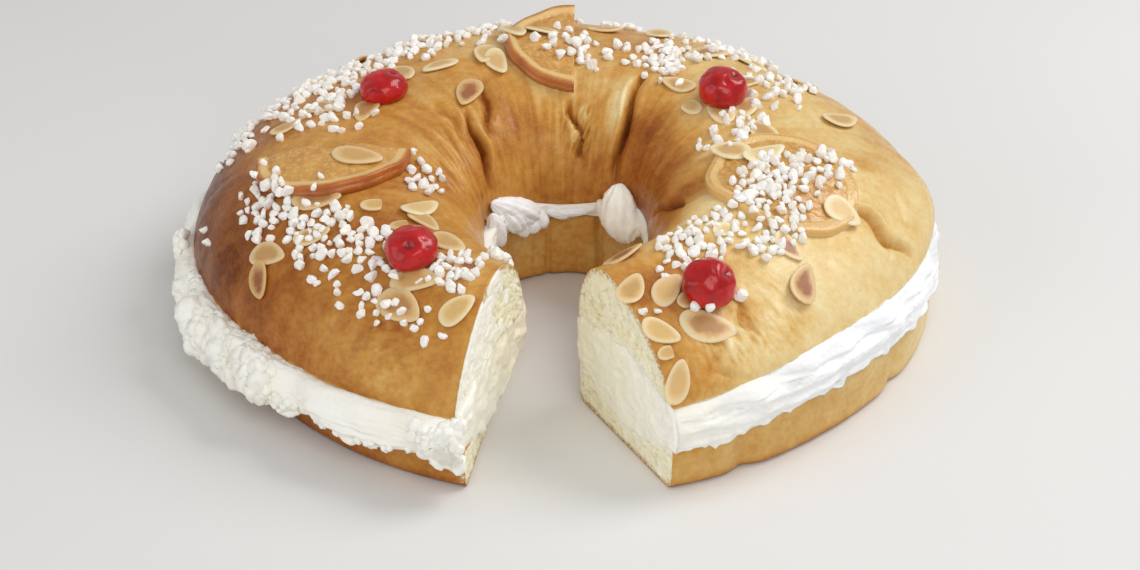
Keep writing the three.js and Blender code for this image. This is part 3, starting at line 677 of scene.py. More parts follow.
def base_crust(look):
    """The base, in the same way as the lid."""
    rise = np.linspace(0, 1, WALL_LINES)
    dish = np.linspace(0.985, 0.02, DISH_LINES)

    def outer_section(theta):
        top = around(theta, SEAM_OUT)
        z = rise * (top - 0.6)
        tuck = -2.5 * np.clip(1 - z / 3, 0, 1) ** 2 + 0.8 * np.clip(z / (top - 3), 0, 1) ** 2
        return base_wall(theta) + tuck, z

    def dish_section(theta):
        return base_rim(theta) * dish, base_top(theta, dish)

    def inner_section(theta):
        top = around(theta, SEAM_IN)
        z = rise[::-1] * (top - 0.6)
        tuck = 2.5 * np.clip(1 - z / 3, 0, 1) ** 2 - 0.6 * (z / top) ** 2
        return tuck + grooves(theta, HOLE_CREASES, BASE_HOLE[0]), z

    walls, angles = [], []
    for section, lines in ((outer_section, WALL_LINES), (dish_section, DISH_LINES),
                           (inner_section, WALL_LINES)):
        grid, theta = ring_group(section, BASE_HOLE, lines, LEFT_CUT_BASE, BASE_STEPS)
        fade = (step_up(cut_distance(grid, LEFT_CUT_BASE), *FADE_AT_CUT)
                * step_up(grid[..., 2], 0, 4))
        fine = 0.35 * rough(grid, 13, 2, 11) + 0.1 * rough(grid, 3.5, 2, 12)
        walls.append(grid + grid_normals(grid) * (fine * fade)[..., None])
        angles.append(theta)
    points, theta = np.concatenate(walls, 1), np.concatenate(angles, 1)
    # Painted shade: the base is painted darker on its left side, away from the key light, as well
    # as its baked colour; it is also darker towards the bottom.
    bake_and_shade = around(theta, BAKE_AND_SHADE_BASE) + 0.25 * np.clip(1 - points[..., 2] / 5, 0, 1)
    in_hole = 0.2 * np.clip(1 - points[:, -WALL_LINES:, 2] / 6, 0, 1)
    bake_and_shade[:, -WALL_LINES:] = BAKE_BASE_HOLE + in_hole
    solid, blocks = cut_ends(points, CRUST_THICKNESS, CUT_RECESS)
    shape = Shape().add(solid, blocks, bake_and_shade=end_padded(bake_and_shade, solid), fold=0)
    shape.piece("crust_base", look, "base_crust", "bread_base")
    return points


def crumb(name, look, plane, end, node, seed, cream_side):
    """The open crumb of a cut. cream_side is 1 where the cream lies above it, else -1."""
    s, z = plane.face(end, *CRUMB_GRID, CRUMB_INSET)
    flat = plane.place(s, z, 0)
    pores = np.clip(rough(flat, 2.4, 3, seed) - 0.24, 0, 0.4)
    relief = 0.3 + 0.6 * rough(flat, 6, 2, seed + 1) + 0.5 * rough(flat, 1.5, 2, seed + 2)
    from_ends, *from_layers = from_edge(s, z)
    from_crust, from_cream = from_layers[::cream_side]
    edge = np.minimum(from_crust, from_ends)
    relief = (relief - 3.2 * pores) * step_up(edge, 0, 2.5) + 0.12
    front = plane.place(s, z, np.clip(relief, -1.6, 1.2))
    shape = Shape().add(*slab(front, plane.place(s, z, 0.4 - CUT_RECESS)),
                        crust=from_crust, cream=from_cream, pore=pores)
    shape.piece(name, look, "crumb", node)


# ------------------------------------------------------------ cream
CREAM_STEPS = 570
SEAM_GAP = 0.35
CREAM_RIM, CREAM_RECESS = 0.5, 1.2
CREAM_FACE_GRID, CREAM_FACE_INSET = (100, 40), 0.1
SMEAR_GRID = (120, 60)
SMEAR_FROM = 0.2
RIDGE_PITCH = 3.3  # of the spatula's ridges in the hole
CURDLED = (208, 34)  # angle and reach of the torn stretch on the left

# Rolls of cream from a start to an end: angle, place outwards from the wall of the base's
# hole, height and half thickness of both; then the depth of the ridges along it, as a share.
CREAM_ROLLS = (
    (56, -4, 44.6, 4.6, 50.6, -5.2, 37.4, 10.2, 0.08),
    (69, -3, 37.4, 2.2, 59, -4, 33.4, 6.2, 0.06),
    (138, -3, 43.6, 4.2, 111, -4, 33.4, 5.6, 0.1),
    (132, -5, 38, 5, 123, -5.5, 33, 4.4, 0.1),
    (121, -5.5, 31.5, 3, 118.5, -6, 28.8, 3, 0.03),
    (114.5, -5.5, 31.5, 3, 111.5, -6, 29, 3.2, 0.03),
    (107, -4.5, 32.5, 2.8, 105, -5, 29.8, 3.2, 0.03),
    (150, -4, 41.5, 3.6, 142, -5, 30.6, 3.6, 0.06),
    (101, -1.4, 32.2, 1.6, 91, -1.8, 30.6, 3.3, 0.06),
    (90, -1.6, 31, 2.6, 78, -1.2, 32.4, 1.7, 0.06),
)
ROLL_GRID = (28, 44)
ROLL_RIDGES = 9
# Painted light and shade: rolls from this angle on are painted whiter, as painted light, and those
# before it yellower, as painted shade.
PAINTED_LIGHT_FROM = 80  # the angle from which on the rolls are whiter

# Lumps of a knob on the outer left: place and half size.
CREAM_KNOB = (
    (-156.8, -8, 30.5, 2.8), (-157.2, -11, 28.5, 2.3), (-157, -4.5, 28.6, 2.3),
    (-155.5, -7, 33, 2.3), (-156.8, -9.5, 25.5, 2), (-157.4, -5.5, 31.8, 1.8),
    (-154.5, -12, 31.5, 2.1), (-157.2, -7, 27.5, 2.5), (-154.6, -3.6, 31.6, 1.8),
)

# Lumps of cream that lie on the lid beside the left cut: place in plan and half size.
CREAM_SPILLS = (
    (-31.4, -63.8, 2.2), (-30, -67, 2.3), (-29.5, -70.5, 2.5), (-27, -74, 2.7),
    (-24.5, -70.5, 2.2), (-29, -78, 2.4), (-33, -84, 1.8), (-23, -66.5, 1.9),
    (-28, -67, 1.9), (-31, -75, 1.7),
)

# Heaps of curds on the outer wall: angle, share of the height (1 to 2: inwards from its top
# to the lid), spreads of both, count and the least and greatest half size.
CURD_HEAPS = (
    (196, 1.0, 4, 0.9, 36, 1.3, 3), (202, 0.95, 4, 0.95, 52, 1.3, 3.6),
    (208, 0.95, 4, 0.95, 60, 1.4, 4.4), (214, 0.95, 4, 0.95, 60, 1.4, 4.6),
    (220, 0.9, 3.5, 0.9, 46, 1.4, 3.8), (205, 0.6, 7, 0.5, 8, 4.5, 6),
    (217, 0.5, 5, 0.4, 6, 4, 5.5), (226, 0.3, 5, 0.3, 18, 1.0, 2.4),
    (240, 0.08, 10, 0.1, 22, 0.9, 1.8), (250.5, 0.6, 3, 0.7, 46, 1.0, 2.7),
    (252.8, 0.5, 1.5, 0.55, 34, 1.4, 3.4),
)
CURD_GRID = (10, 16)
CURD_BY_LID = 2.2  # greatest half size of the curds that lie against the lid


def ruffle(theta, height):
    """Ruffles that the spatula and the piping leave in the cream's edge."""
    return (1.5 * np.sin(23 * theta + 2 * height) + np.sin(37 * theta + 1 + 3 * height)
            + 0.7 * np.sin(9 * theta + 0.5))


def cream_wall(theta, heights, low, high):
    """The cream's outer wall, from its low edge to its high one: w and z."""
    lean = 0.5 - 14 * (heights - 0.5) ** 2
    lid = width(theta, LID_HOLE)
    reach = lid + around(theta, CREAM_EDGE) + lean + ruffle(theta, heights)
    clear = lid + around(theta, BASE_EDGE) + BASE_CLEARANCE
    reach = np.where(heights > 0.6, reach, np.maximum(reach, clear))
    return reach, low + (high - low) * heights


def curdled(theta):
    return bump_at(np.degrees(theta) % 360, *CURDLED)


def rough_wall(wall, theta, heights):
    """The outer wall with its ribs and, on the left, its curds."""
    left = curdled(theta)
    curds = 2.2 * np.abs(rough(wall, 10, 2, 23)) + 1.2 * np.abs(rough(wall, 4.5, 2, 24)) - 1.3
    streaks = flat_rough(theta * 14, wall[..., 2], 3.0, 3, 25)
    ribs = rough(wall * [1.0, 1.0, 0.4], 7, 2, 34)
    bulge = (1.6 * left * curds + (1 - 0.6 * left) * (1.5 * streaks + 0.9 * ribs)
             + 0.3 * rough(wall, 1.8, 2, 26))
    # The lid's right lobe hangs over it.
    bulge = bulge - 2.6 * bump_at(wrapped(theta), 0.05, 0.3) * heights
    fade = step_up(cut_distance(wall, LEFT_CUT_CREAM), 0, 4) * np.minimum(1, 4 * (1 - heights))
    return wall + outward_of_ring(wall) * (bulge * fade)[..., None]


def rough_hole(wall, theta, rises):
    """The wall in the hole, with the spatula's ridges and torn ends by the cuts."""
    degrees = np.degrees(wrapped(theta))
    ridges = np.abs(np.sin(np.pi * (wall[..., 2] + 0.06 * degrees) / RIDGE_PITCH)) - 0.5
    torn = bump_at(degrees, -66, 16) + bump_at(degrees, -112, 16)
    bulge = (1.5 * bump_at(degrees, 132, 32) * ridges
             + (0.6 + 1.4 * torn) * rough(wall, 5, 3, 27))
    fade = np.sin(np.pi * rises) ** 0.5
    return wall - outward_of_ring(wall) * (np.maximum(bulge, -0.4) * fade)[..., None]


def rough_shelf(shelf, theta, inwards):
    """The cream's top outside the lid, in ribbons."""
    ribbons = (0.9 * flat_rough(theta * 16, (1 - inwards) * 7, 3.2, 3, 30)
               + 2.6 * curdled(theta) * np.abs(rough(shelf, 5, 2, 35))
               + 0.3 * rough(shelf, 2.4, 2, 31))
    fade = np.sin(np.pi * inwards) ** 0.6 * step_up(cut_distance(shelf, LEFT_CUT_CREAM), 0, 4)
    return shelf + (np.maximum(ribbons, -0.5) * fade)[..., None] * [0, 0, 1.0]


def cream_points():
    """The filling from cut to cut, [steps, lines, 3]."""
    heights = np.linspace(0.98, 0, 36)
    rises = np.linspace(0, 1, 30)
    inwards = np.linspace(1, 0.05, 14)
    dish = np.linspace(0.985, 0.02, 8)
    shares = np.linspace(0.02, 0.96, 8)
    ring = np.linspace(-np.pi, np.pi, 1400)
    circle = np.stack([np.cos(ring), np.sin(ring), 0 * ring], -1) * RING_RADIUS
    frayed = (4.4 * np.maximum(rough(circle, 9, 2, 21), 0)
              + 1.8 * np.maximum(rough(circle, 3.6, 2, 22), 0))
    to_lid = 0.975

    def low_edge(theta):
        """The frayed edge that hangs over the base."""
        frill = np.interp(wrapped(theta), ring, frayed)
        return around(theta, SEAM_OUT) - around(theta, CREAM_DROP) - frill

    def outer_section(theta):
        high = around(theta, LID_FOOT_OUT) - 0.5
        return cream_wall(theta, heights, low_edge(theta) - 0.4, high)

    def lip_section(theta):
        top = around(theta, SEAM_OUT) - 0.8
        z = np.concatenate([low_edge(theta)[..., :1] + 0.3, top[..., :1]], -1)
        return base_wall(theta) + 1.0, z

    def dish_section(theta):
        return base_rim(theta) * dish, base_top(theta, dish) + SEAM_GAP

    def inner_lip_section(theta):
        return 0 * theta - 1.0, around(theta, SEAM_IN) + [SEAM_GAP, 0]

    def inner_section(theta):
        lean = 0.5 - 3 * (rises - 0.6) ** 2
        reach = around(theta, CREAM_INTO_HOLE) + 0.2 * ruffle(theta, rises)
        reach = reach * (0.3 + 0.7 * step_up(rises, 0, 0.6))
        z = around(theta, SEAM_IN) + 0.5 + around(theta, CREAM_IN) * rises * 0.98
        return -1.3 - lean - np.maximum(reach, 0), z

    def under_section(theta):
        return lid_edge(theta) * shares, lid_under(theta, shares) - SEAM_GAP

    def shelf_section(theta):
        """The cream's top, from under the lid's edge outwards to the wall."""
        seam, high = around(theta, SEAM_OUT), around(theta, LID_FOOT_OUT) - 0.5
        w, z = cream_wall(theta, heights[0] + 0 * inwards, seam, high)
        edge = lid_edge(theta) * to_lid
        swell = np.sin(np.pi * np.minimum(inwards * 1.1, 1)) ** 0.8
        swell = np.minimum(w - edge, 8) * 0.24 * swell
        under = lid_under(theta, to_lid + 0 * inwards) - SEAM_GAP
        return w + (edge - w) * inwards, z + (under - z) * inwards ** 2 + swell

    def lines(section, hole, count):
        return ring_group(section, hole, count, LEFT_CUT_CREAM, CREAM_STEPS)

    return np.concatenate([
        rough_wall(*lines(outer_section, LID_HOLE, len(heights)), heights),
        lines(lip_section, BASE_HOLE, 2)[0],
        lines(dish_section, BASE_HOLE, len(dish))[0],
        lines(inner_lip_section, BASE_HOLE, 2)[0],
        rough_hole(*lines(inner_section, BASE_HOLE, len(rises)), rises),
        lines(under_section, LID_HOLE, len(shares))[0],
        rough_shelf(*lines(shelf_section, LID_HOLE, len(inwards)), inwards),
    ], 1)


def cream(look):
    """The filling: its ring, the rolls in the hole and the two cut faces. Its value of painted
    light and shade is above 0 where the cream is painted yellower as painted shade, and below 0
    where it is painted whiter and bluer as painted light."""
    points = cream_points()
    solid, blocks = cut_ends(points, CREAM_RIM, CREAM_RECESS)
    # Painted light: the cream is painted whiter and bluer towards +X, where the key light falls.
    shape = Shape().add(solid, blocks, deep=-step_up(solid[:, 0], 20, 120))
    for number, roll in enumerate(CREAM_ROLLS):
        # Painted light and shade: rolls that start at lesser angles are painted yellower as painted
        # shade, the others whiter as painted light.
        shape.add(*cream_roll(number, *roll), deep=0.4 if roll[0] < PAINTED_LIGHT_FROM else -1)
    for plane, end, seed, lumpy in ((CutPlane(RIGHT_CUT, -1), points[0], 31, 0.9),
                                    (CutPlane(LEFT_CUT_CREAM, 1), points[-1], 41, 1.6)):
        s, z = plane.face(end, *CREAM_FACE_GRID, CREAM_FACE_INSET)
        edge = np.minimum.reduce(from_edge(s, z))
        z = spilt(plane, s, z, seed)
        flat = plane.place(s, z, 0)
        relief = 0.7 + lumpy * rough(flat, 8, 2, seed) + 0.45 * rough(flat, 2.2, 2, seed + 1)
        rounded = np.sqrt(1 - (1 - np.clip(edge / 2.5, 0, 1)) ** 2)
        front = plane.place(s, z, 0.02 + np.clip(relief, -0.1, 2.5) * rounded)
        to_hole = 1 - (s - s.min()) / (s.max() - s.min())
        # Painted shade: the cut faces are painted yellower towards the hole.
        shape.add(*slab(front, plane.place(s, z, -0.8)), deep=0.2 + 0.7 * to_hole)
    shape.piece("cream", look, "cream", "cream_filling")


def spilt(plane, s, z, seed):
    """Heights of a cream face that spills unevenly over the crumb above and below it."""
    low, high, line = z.min(1, keepdims=True), z.max(1, keepdims=True), s[:, :1]
    spill = 2.2 + 1.8 * rough(plane.place(line, 0, 0), 5, 2, seed + 3)
    spill = spill * step_up(s.max() - line, 1, 8) * step_up(line - s.min(), 0.5, 4)
    middle, half = (low + high) / 2, (high - low) / 2
    return middle + (z - middle) * (1 + np.maximum(spill, 0) / half)


def cream_roll(seed, angle, w, z, size, end_angle, end_w, end_z, end_size, ridge):
    """A roll of cream between two places, thicker or thinner towards its end."""
    start, end = (np.array([*plan(np.radians(a), reach, BASE_HOLE), height])
                  for a, reach, height in ((angle, w, z), (end_angle, end_w, end_z)))
    round_it, blocks = ball(*ROLL_GRID)
    x, y, along = round_it.T
    axis = unit(end - start)
    side = unit(np.cross(axis, [0.31, 0.22, 0.93]))
    up = np.cross(axis, side)
    polar = np.arccos(np.clip(along, -1, 1))
    ridges = np.abs(np.sin(ROLL_RIDGES / 2 * np.arctan2(y, x) + 2.2 * polar)) - 0.5
    where = round_it * 10 + 20 * seed
    uneven = 0.12 * rough(where, 7, 3, 28) + 0.1 * np.abs(rough(where, 2.6, 2, 29))
    radius = (size + (end_size - size) * (1 + along) / 2) * (
        1 + 2 * ridge * ridges * np.sin(polar) ** 0.5 + uneven)
    length = along * (np.linalg.norm(end - start) / 2 + radius)
    points = (start + end) / 2 + np.stack([length, x * radius, y * radius], -1) @ [axis, side, up]
    return points, blocks


def cream_skin(theta, share):
    """Places on the cream's outside: 0 to 1 up its wall, then inwards to the lid at 2."""
    seam = around(theta, SEAM_OUT)
    w, z = cream_wall(theta, min(share, 0.98), seam - around(theta, CREAM_DROP) - 0.5,
                      around(theta, LID_FOOT_OUT) - 0.5)
    return w + (lid_edge(theta) - w) * max(share - 1, 0), z


def curds(look):
    """Curds of cream that burst out between the breads on the left, and lumps on the lid."""
    draw = np.random.default_rng(5)
    shape = Shape()
    round_it, blocks = ball(*CURD_GRID)

    def add_curd(centre, size, deep=0):
        where = round_it * 10 + 40 * draw.random(3)
        lumpy = 1 + 0.28 * rough(where, 8, 2, 33) + 0.3 * np.abs(rough(where, 4, 2, 36))
        points = centre + round_it * lumpy[:, None] * size * draw.uniform(0.75, 1.2, 3)
        shape.add(points, blocks, deep=deep)

    for angle, share, angle_spread, share_spread, count, least, greatest in CURD_HEAPS:
        for _ in range(count):
            theta = np.radians(angle + angle_spread * draw.uniform(-1, 1))
            height = share + share_spread * draw.uniform(-1, 1)
            w, z = cream_skin(theta, max(height, 0.02))
            size = draw.uniform(least, greatest)
            if height > 1.6:
                size = min(size, CURD_BY_LID)
            x, y = plan(theta, w - 0.35 * size, LID_HOLE)
            out = np.array([math.cos(theta), math.sin(theta), 0.4])
            # Painted shade: each curd is painted yellower on its side that faces in and down, away
            # from the light.
            deep = np.clip(0.4 - 0.6 * round_it @ out, 0, 1)
            add_curd(np.array([x, y, z - 0.15 * size]), size, deep)
    for *place, size in CREAM_KNOB:
        add_curd(np.array(place), size)
    for x, y, size in CREAM_SPILLS:
        place, _, _, out = lid_above(x, y)
        add_curd(place + out * size * 0.35, size)
    shape.piece("cream_curds", look, "cream", "cream_filling")


def smear(look, plane, end):
    """Cream that the knife drew over the outer part of the lid's crumb at the left cut."""
    s, z = plane.face(end, *SMEAR_GRID, CRUMB_INSET)
    outer_share = (s - s.min()) / (s.max() - s.min())
    flat = plane.place(s, z, 0)
    cover = step_up(outer_share + 0.3 * rough(flat, 9, 3, 91), SMEAR_FROM, SMEAR_FROM + 0.25)
    lumps = 0.6 * rough(flat, 4, 2, 92) + 0.3 * rough(flat, 1.6, 2, 93)
    front = plane.place(s, z, -1.65 + cover * (2.6 + lumps))
    # Painted shade: the smear is painted a little yellower.
    shape = Shape().add(*slab(front, plane.place(s, z, -1.8)), deep=0.3)
    shape.piece("cream_smear", look, "cream", "cream_filling")


# ------------------------------------------------------------ fruit
CHERRY_GRID = (48, 84)
SEGMENTS = 10
SLICE_RINGS = 40
SLICE_COLUMNS, HALF_SLICE_COLUMNS = 132, 84
SLICE_BACK = 1.02  # the value radius on a slice's underside


def cherry_centre(x, y, height):
    place, _, _, out = lid_above(x, y)
    return place + out * (CHERRY_RADIUS * height - CHERRY_SINK)


def cherry(name, look, x, y, height, turn):
    round_it, blocks = ball(*CHERRY_GRID)
    stalk = unit(np.array([0.5 * math.cos(turn), 0.5 * math.sin(turn), 0.8]))
    where = round_it * 10 + x
    radius = 0.98 + 0.07 * rough(where, 8, 2, 51) - 0.03 * np.abs(rough(where, 4, 2, 52))
    # Each dimple: its place, depth and size; then the lip round it: height, place and size.
    for dimple, depth, size, lip, ring, soft in (
            (stalk, 0.16, 0.05, 0.02, 0.25, 0.03),
            (unit(stalk * [-1.3, -1.3, 0.9]), 0.08, 0.04, 0.03, 0.3, 0.02)):
        near = ((round_it - dimple) ** 2).sum(-1)
        radius = radius - depth * np.exp(-near / size) + lip * np.exp(-(near - ring) ** 2 / soft)
    half = np.array([1.03, 1.0, height]) * CHERRY_RADIUS
    directions = np.stack(lid_above(x, y)[1:])
    points = cherry_centre(x, y, height) + (round_it * radius[:, None] * half) @ directions
    near = ((round_it - stalk) ** 2).sum(-1)
    shape = Shape().add(points, blocks, dimple=np.exp(-near / 0.06))
    shape.piece(name.replace("cherry", "glace_cherry"), look, "glace_cherry", name)


def slice_height(r, between, grain):
    """Height of a slice's face above its underside, as a share of its thickness."""
    flesh = 0.74 - 0.07 * between ** 6 + 0.09 * grain - 0.2 * bump_at(r, 0, 0.14)
    face = np.where(r < 0.83, flesh, 0.8 + 0.14 * step_up(r, 0.83, 0.92))
    return face - 0.5 * step_up(r, 0.955, 1.0) ** 2


def orange_slice(name, look, x, y, start, end, lift, thickness, pale):
    whole = end - start == 360
    share = np.append(np.sqrt(np.linspace(0.02, 1, SLICE_RINGS)) * 0.999, 1.0)
    columns = SLICE_COLUMNS if whole else HALF_SLICE_COLUMNS
    angle = np.radians(np.linspace(start, end, columns, endpoint=not whole))
    r, turn = np.meshgrid(share, angle, indexing="ij")
    wobble = 1 + 0.012 * np.sin(5 * turn + x) + 0.008 * np.sin(11 * turn)
    dx, dy = (SLICE_RADIUS * r * wobble * f(turn) for f in (np.cos, np.sin))
    place, _, _, out = lid_above(x + dx, y + dy)
    tip = lift * np.clip((dy / SLICE_RADIUS - 0.35) / 0.65, 0, 1) ** 2 - SLICE_SINK
    between = np.abs(((turn / (2 * np.pi) * SEGMENTS) % 1) - 0.5) * 2  # 1 at a membrane
    grain = flat_rough(dx, dy, 2.4, 2, 61)
    height = thickness - 4.5 * (1 - slice_height(r, between, grain) / 0.94)
    grids = (place + out * (height + tip)[..., None], place + out * tip[..., None])
    points, blocks = disc(*grids) if whole else slab(*grids)
    ends = ([0, SLICE_BACK], [0, 0]) if whole else ([], [])  # of a disc's two middle points
    radius = np.concatenate([r.ravel(), np.full(r.size, SLICE_BACK), ends[0]])
    membrane = (between ** 12 * step_up(r, 0.05, 0.2)).ravel()
    membrane = np.concatenate([membrane, membrane, ends[1]])
    shape = Shape().add(points, blocks, radius=radius, membrane=membrane, pale=pale)
    shape.piece(name.replace("orange", "candied"), look, "candied_orange", name)


def on_slice(x, y, margin=0.0):
    """How far a slice lifts what lies on it at places in plan, in mm."""
    lift = np.zeros(np.shape(x))
    for cx, cy, start, end, _, thickness, _ in SLICES.values():
        dx, dy = x - cx, y - cy
        inside = np.hypot(dx, dy) < SLICE_RADIUS + margin
        if end - start < 360:
            middle = np.radians((start + end) / 2)
            inside &= dx * np.cos(middle) + dy * np.sin(middle) > -margin
        lift = np.where(inside, thickness - SLICE_SINK - 0.9, lift)
    return lift


# ------------------------------------------------------------ small toppings
FLAKE_LENGTH = 18.0
FLAKE_WIDTH = 10.5
FLAKE_THICKNESS = 1.15
FLAKE_RINGS = (0.18, 0.4, 0.6, 0.78, 0.9, 0.97, 1.0)
FLAKE_COLUMNS = 36
BROKEN_BELOW = 0.75  # flakes of a lesser size are broken off across their width
BROKEN_AT = 0.25

# Almond flakes: angle, across, turn of the long axis, size, toast from 0 to 1.
FLAKES = (
    (207, 42, 27, 1, 0.35), (210, 31, -41, 0.85, 1), (210, 60, 54, 0.8, 0.4),
    (237, 52, -10, 1.15, 0.55), (236, 66, 27, 1.05, 0.3), (248, 58, 59, 0.9, 0.15),
    (209, 112, 107, 0.95, 0.1), (207, 92, 61, 0.7, 0.1), (232, 100, 0, 0.9, 0.2),
    (217, 107, 12, 0.8, 0.2), (200, 72, 54, 1.1, 0.5), (245, 85, 29, 0.7, 0.9),
    (218, 94, 63, 0.6, 0.2), (139, 82, 74, 0.9, 0.3), (129, 88, -5, 0.9, 0.3),
    (129, 113, 33, 1, 0.9), (105, 82, 103, 0.9, 0.3), (113, 98, 85, 0.9, 0.2),
    (115, 90, 54, 0.9, 0.2), (188, 93, 67, 1.1, 0.15), (162, 71, 88, 0.9, 0.4),
    (98, 84, 143, 0.9, 0.3), (54, 72, 72, 1.2, 0.7), (82, 68, 25, 0.8, 0.3),
    (27, 103, 0, 0.85, 0.2), (39, 111, 2, 0.7, 0.2), (50, 102, 14, 0.8, 0.3),
    (24, 92, -60, 0.9, 0.5), (9, 92, 14, 1.05, 0.5), (0, 108, 80, 0.95, 0.4),
    (355, 92, -48, 1.0, 0.1), (14, 57, -70, 1, 0.3), (31, 53, -81, 0.9, 0.8),
    (339, 52, -75, 0.95, 0.15), (323, 54, -88, 0.8, 0.9), (318, 38, 35, 1.05, 0.9),
    (292, 64, 29, 0.95, 0.05), (295, 56, 17, 0.6, 0.2), (318, 75, -38, 0.6, 0.2),
    (284, 70, 43, 0.9, 0.3), (295, 41, -34, 1.2, 0.6), (286, 46, -46, 0.8, 0.1),
    (286, 21, 60, 0.9, 0.1), (286, 36, -3, 0.5, 0.1), (290, 116, -15, 0.95, 0.9),
    (150, 50, 30, 0.9, 0.4), (170, 62, 120, 0.8, 0.3), (160, 88, 10, 0.9, 0.5),
    (122, 60, 50, 0.9, 0.3), (92, 52, 60, 0.9, 0.5), (70, 58, 110, 1, 0.3),
    (45, 60, 20, 0.9, 0.4), (66, 42, -30, 0.9, 0.4), (35, 80, 95, 0.8, 0.5),
    (135, 40, 80, 0.9, 0.5), (228, 84, 130, 0.7, 0.5), (106, 44, 10, 0.9, 0.3),
)

# Patches of pearl sugar: angle, across, spread of angle, spread across, count.
SUGAR_PATCHES = (
    (166, 36, 7, 12, 36), (156, 55, 8, 14, 34), (142, 60, 7, 14, 40), (128, 64, 7, 12, 34),
    (112, 66, 8, 12, 24), (163, 76, 9, 10, 30), (198, 54, 6, 9, 40), (211, 64, 8, 11, 50),
    (224, 72, 7, 9, 28), (184, 124, 9, 7, 16), (241, 80, 5, 9, 24), (231, 48, 8, 6, 20),
    (85, 94, 9, 11, 28), (62, 88, 8, 14, 46), (52, 54, 8, 11, 34), (30, 72, 8, 12, 30),
    (14, 104, 9, 13, 24), (351, 68, 5, 8, 24), (336, 76, 7, 10, 64), (310, 82, 10, 12, 60),
    (323, 63, 6, 7, 24), (80, 50, 24, 12, 40), (346, 84, 6, 8, 30),
)
LONE_GRAINS = (  # places in plan and height above the crust
    (46.6, -106.4, 4.4), (42.4, -107, 3), (60, -95.2, 0), (29.8, -109.6, 0), (24.3, -110.6, 0),
    (-61, -108.8, 0), (-53.4, -116.5, 0), (-46.7, -116.6, 0), (-52.6, -106.9, 0), (-141, -33, 0),
    (-143.5, -24, 0), (-64.5, -92.5, 2.2),
)
GRAIN_HALF_SIZES = (1.3, 2.7)
GRAIN_SPACING = 2.9
GRAIN_CLEARANCE = 1.2  # from the cherries
GRAIN_FROM_CUT = 3
CLUMP_SIZE = 7.0
GRAIN_FACETS = 9
GRAIN_KNOBS = 3
GRAIN_GRID = (8, 13)


def almonds(look):
    draw = np.random.default_rng(7)
    shape = Shape()
    polar = np.linspace(0, 2 * np.pi, FLAKE_COLUMNS, endpoint=False)
    share = np.array(FLAKE_RINGS)[:, None]
    rim = np.repeat(share, FLAKE_COLUMNS)
    rounded = np.sqrt(1 - np.clip((share - 0.8) / 0.2, 0, 1) ** 2)
    thick = FLAKE_THICKNESS * (0.35 + 0.65 * rounded)
    for angle, across, turn, size, toast in FLAKES:
        theta, a, turn = np.radians([angle, across, turn])
        place, along, inwards, out = lid_frame(theta, a)
        lean = draw.normal(0, 0.07, 2)
        out = unit(out + along * lean[0] + inwards * lean[1])
        forward = along * math.cos(turn) + inwards * math.sin(turn)
        forward = unit(forward - out * (forward @ out))
        sideways = np.cross(out, forward)
        point, uneven = draw.uniform(0.18, 0.34), draw.uniform(-0.06, 0.06, 3)
        outline = 1 + uneven[0] * np.cos(2 * polar) + uneven[1] * np.sin(3 * polar)
        u = share * np.cos(polar) * outline
        if size < BROKEN_BELOW:
            u = np.where(u > BROKEN_AT, BROKEN_AT + 0.1 * (u - BROKEN_AT), u)
        v = share * np.sin(polar) * (1 - point * np.cos(polar)) * outline
        broad = FLAKE_WIDTH * draw.uniform(0.92, 1.06)
        dent = 0.5 * (1 - share ** 2) * draw.uniform(0.1, 1.0)
        droop = draw.uniform(-0.7, 0.9) * u * u + draw.uniform(-0.2, 0.6) * v * v
        droop = droop + draw.uniform(-0.5, 0.5) * u * v
        middle = on_slice(place[0], place[1]) + 0.9 - dent - droop
        flat = np.stack([u * FLAKE_LENGTH, v * broad], -1) * size / 2 @ [forward, sideways]
        points, blocks = disc(*(place + flat + (middle + half)[..., None] * out
                                for half in (thick / 2, -thick / 2)))
        # A flake is painted darker where the crust under it is darker: partly the oven browning it
        # with the crust, partly the crust's painted shade.
        browned_and_shaded = 0.9 * (bake_and_shade_level(theta, a) - 0.3)
        kind = 0.45 * draw.uniform() + 0.6 * toast + browned_and_shaded - 0.12
        shape.add(points, blocks, rim=np.concatenate([rim, rim, [0, 0]]), toast=toast, kind=kind)
    shape.piece("almond_flakes", look, "almond", "bread_top")


def grain_places(draw):
    """Where the grains of sugar lie, clear of one another, and their directions outwards."""
    x, y, above = np.array(LONE_GRAINS).T
    at, _, _, out = lid_above(x, y)
    places, outs = list(at + out * above[:, None]), list(out)
    cherries = np.array([cherry_centre(*place) for *place, _ in CHERRIES.values()])
    for angle, across, angle_spread, across_spread, count in SUGAR_PATCHES:
        spread = 1.3 * (draw.random((2, count * 8, 3)).sum(-1) - 1.5)
        at, _, _, out = lid_frame(np.radians(angle + angle_spread * spread[0]),
                                  np.radians(across + across_spread * spread[1]))
        clumps = np.array([noise.noise(Vector(p) / CLUMP_SIZE) for p in at])
        at = at + out * on_slice(at[:, 0], at[:, 1], 1.0)[:, None]
        from_cherries = np.linalg.norm(at[:, None] - cherries, axis=-1).min(1)
        free = from_cherries > CHERRY_RADIUS + GRAIN_CLEARANCE
        free &= clumps > draw.uniform(-0.6, 0.05, len(at))
        free &= (cut_distance(at, LEFT_CUT_LID) > GRAIN_FROM_CUT) & ~in_wedge(at)
        placed_here = 0
        for place, up in zip(at[free], out[free]):
            if placed_here == count:
                break
            if np.linalg.norm(np.array(places) - place, axis=1).min() < GRAIN_SPACING:
                continue
            places.append(place)
            outs.append(up)
            placed_here += 1
    return np.array(places), np.array(outs)


def in_wedge(at):
    """True where a place lies inside the wedge that was cut out."""
    x, y = at[..., 0], at[..., 1]
    return (y < HOLE_CENTRE[1]) & (off_cut(x, y, RIGHT_CUT) < 0) & (off_cut(x, y, LEFT_CUT_LID) > 0)


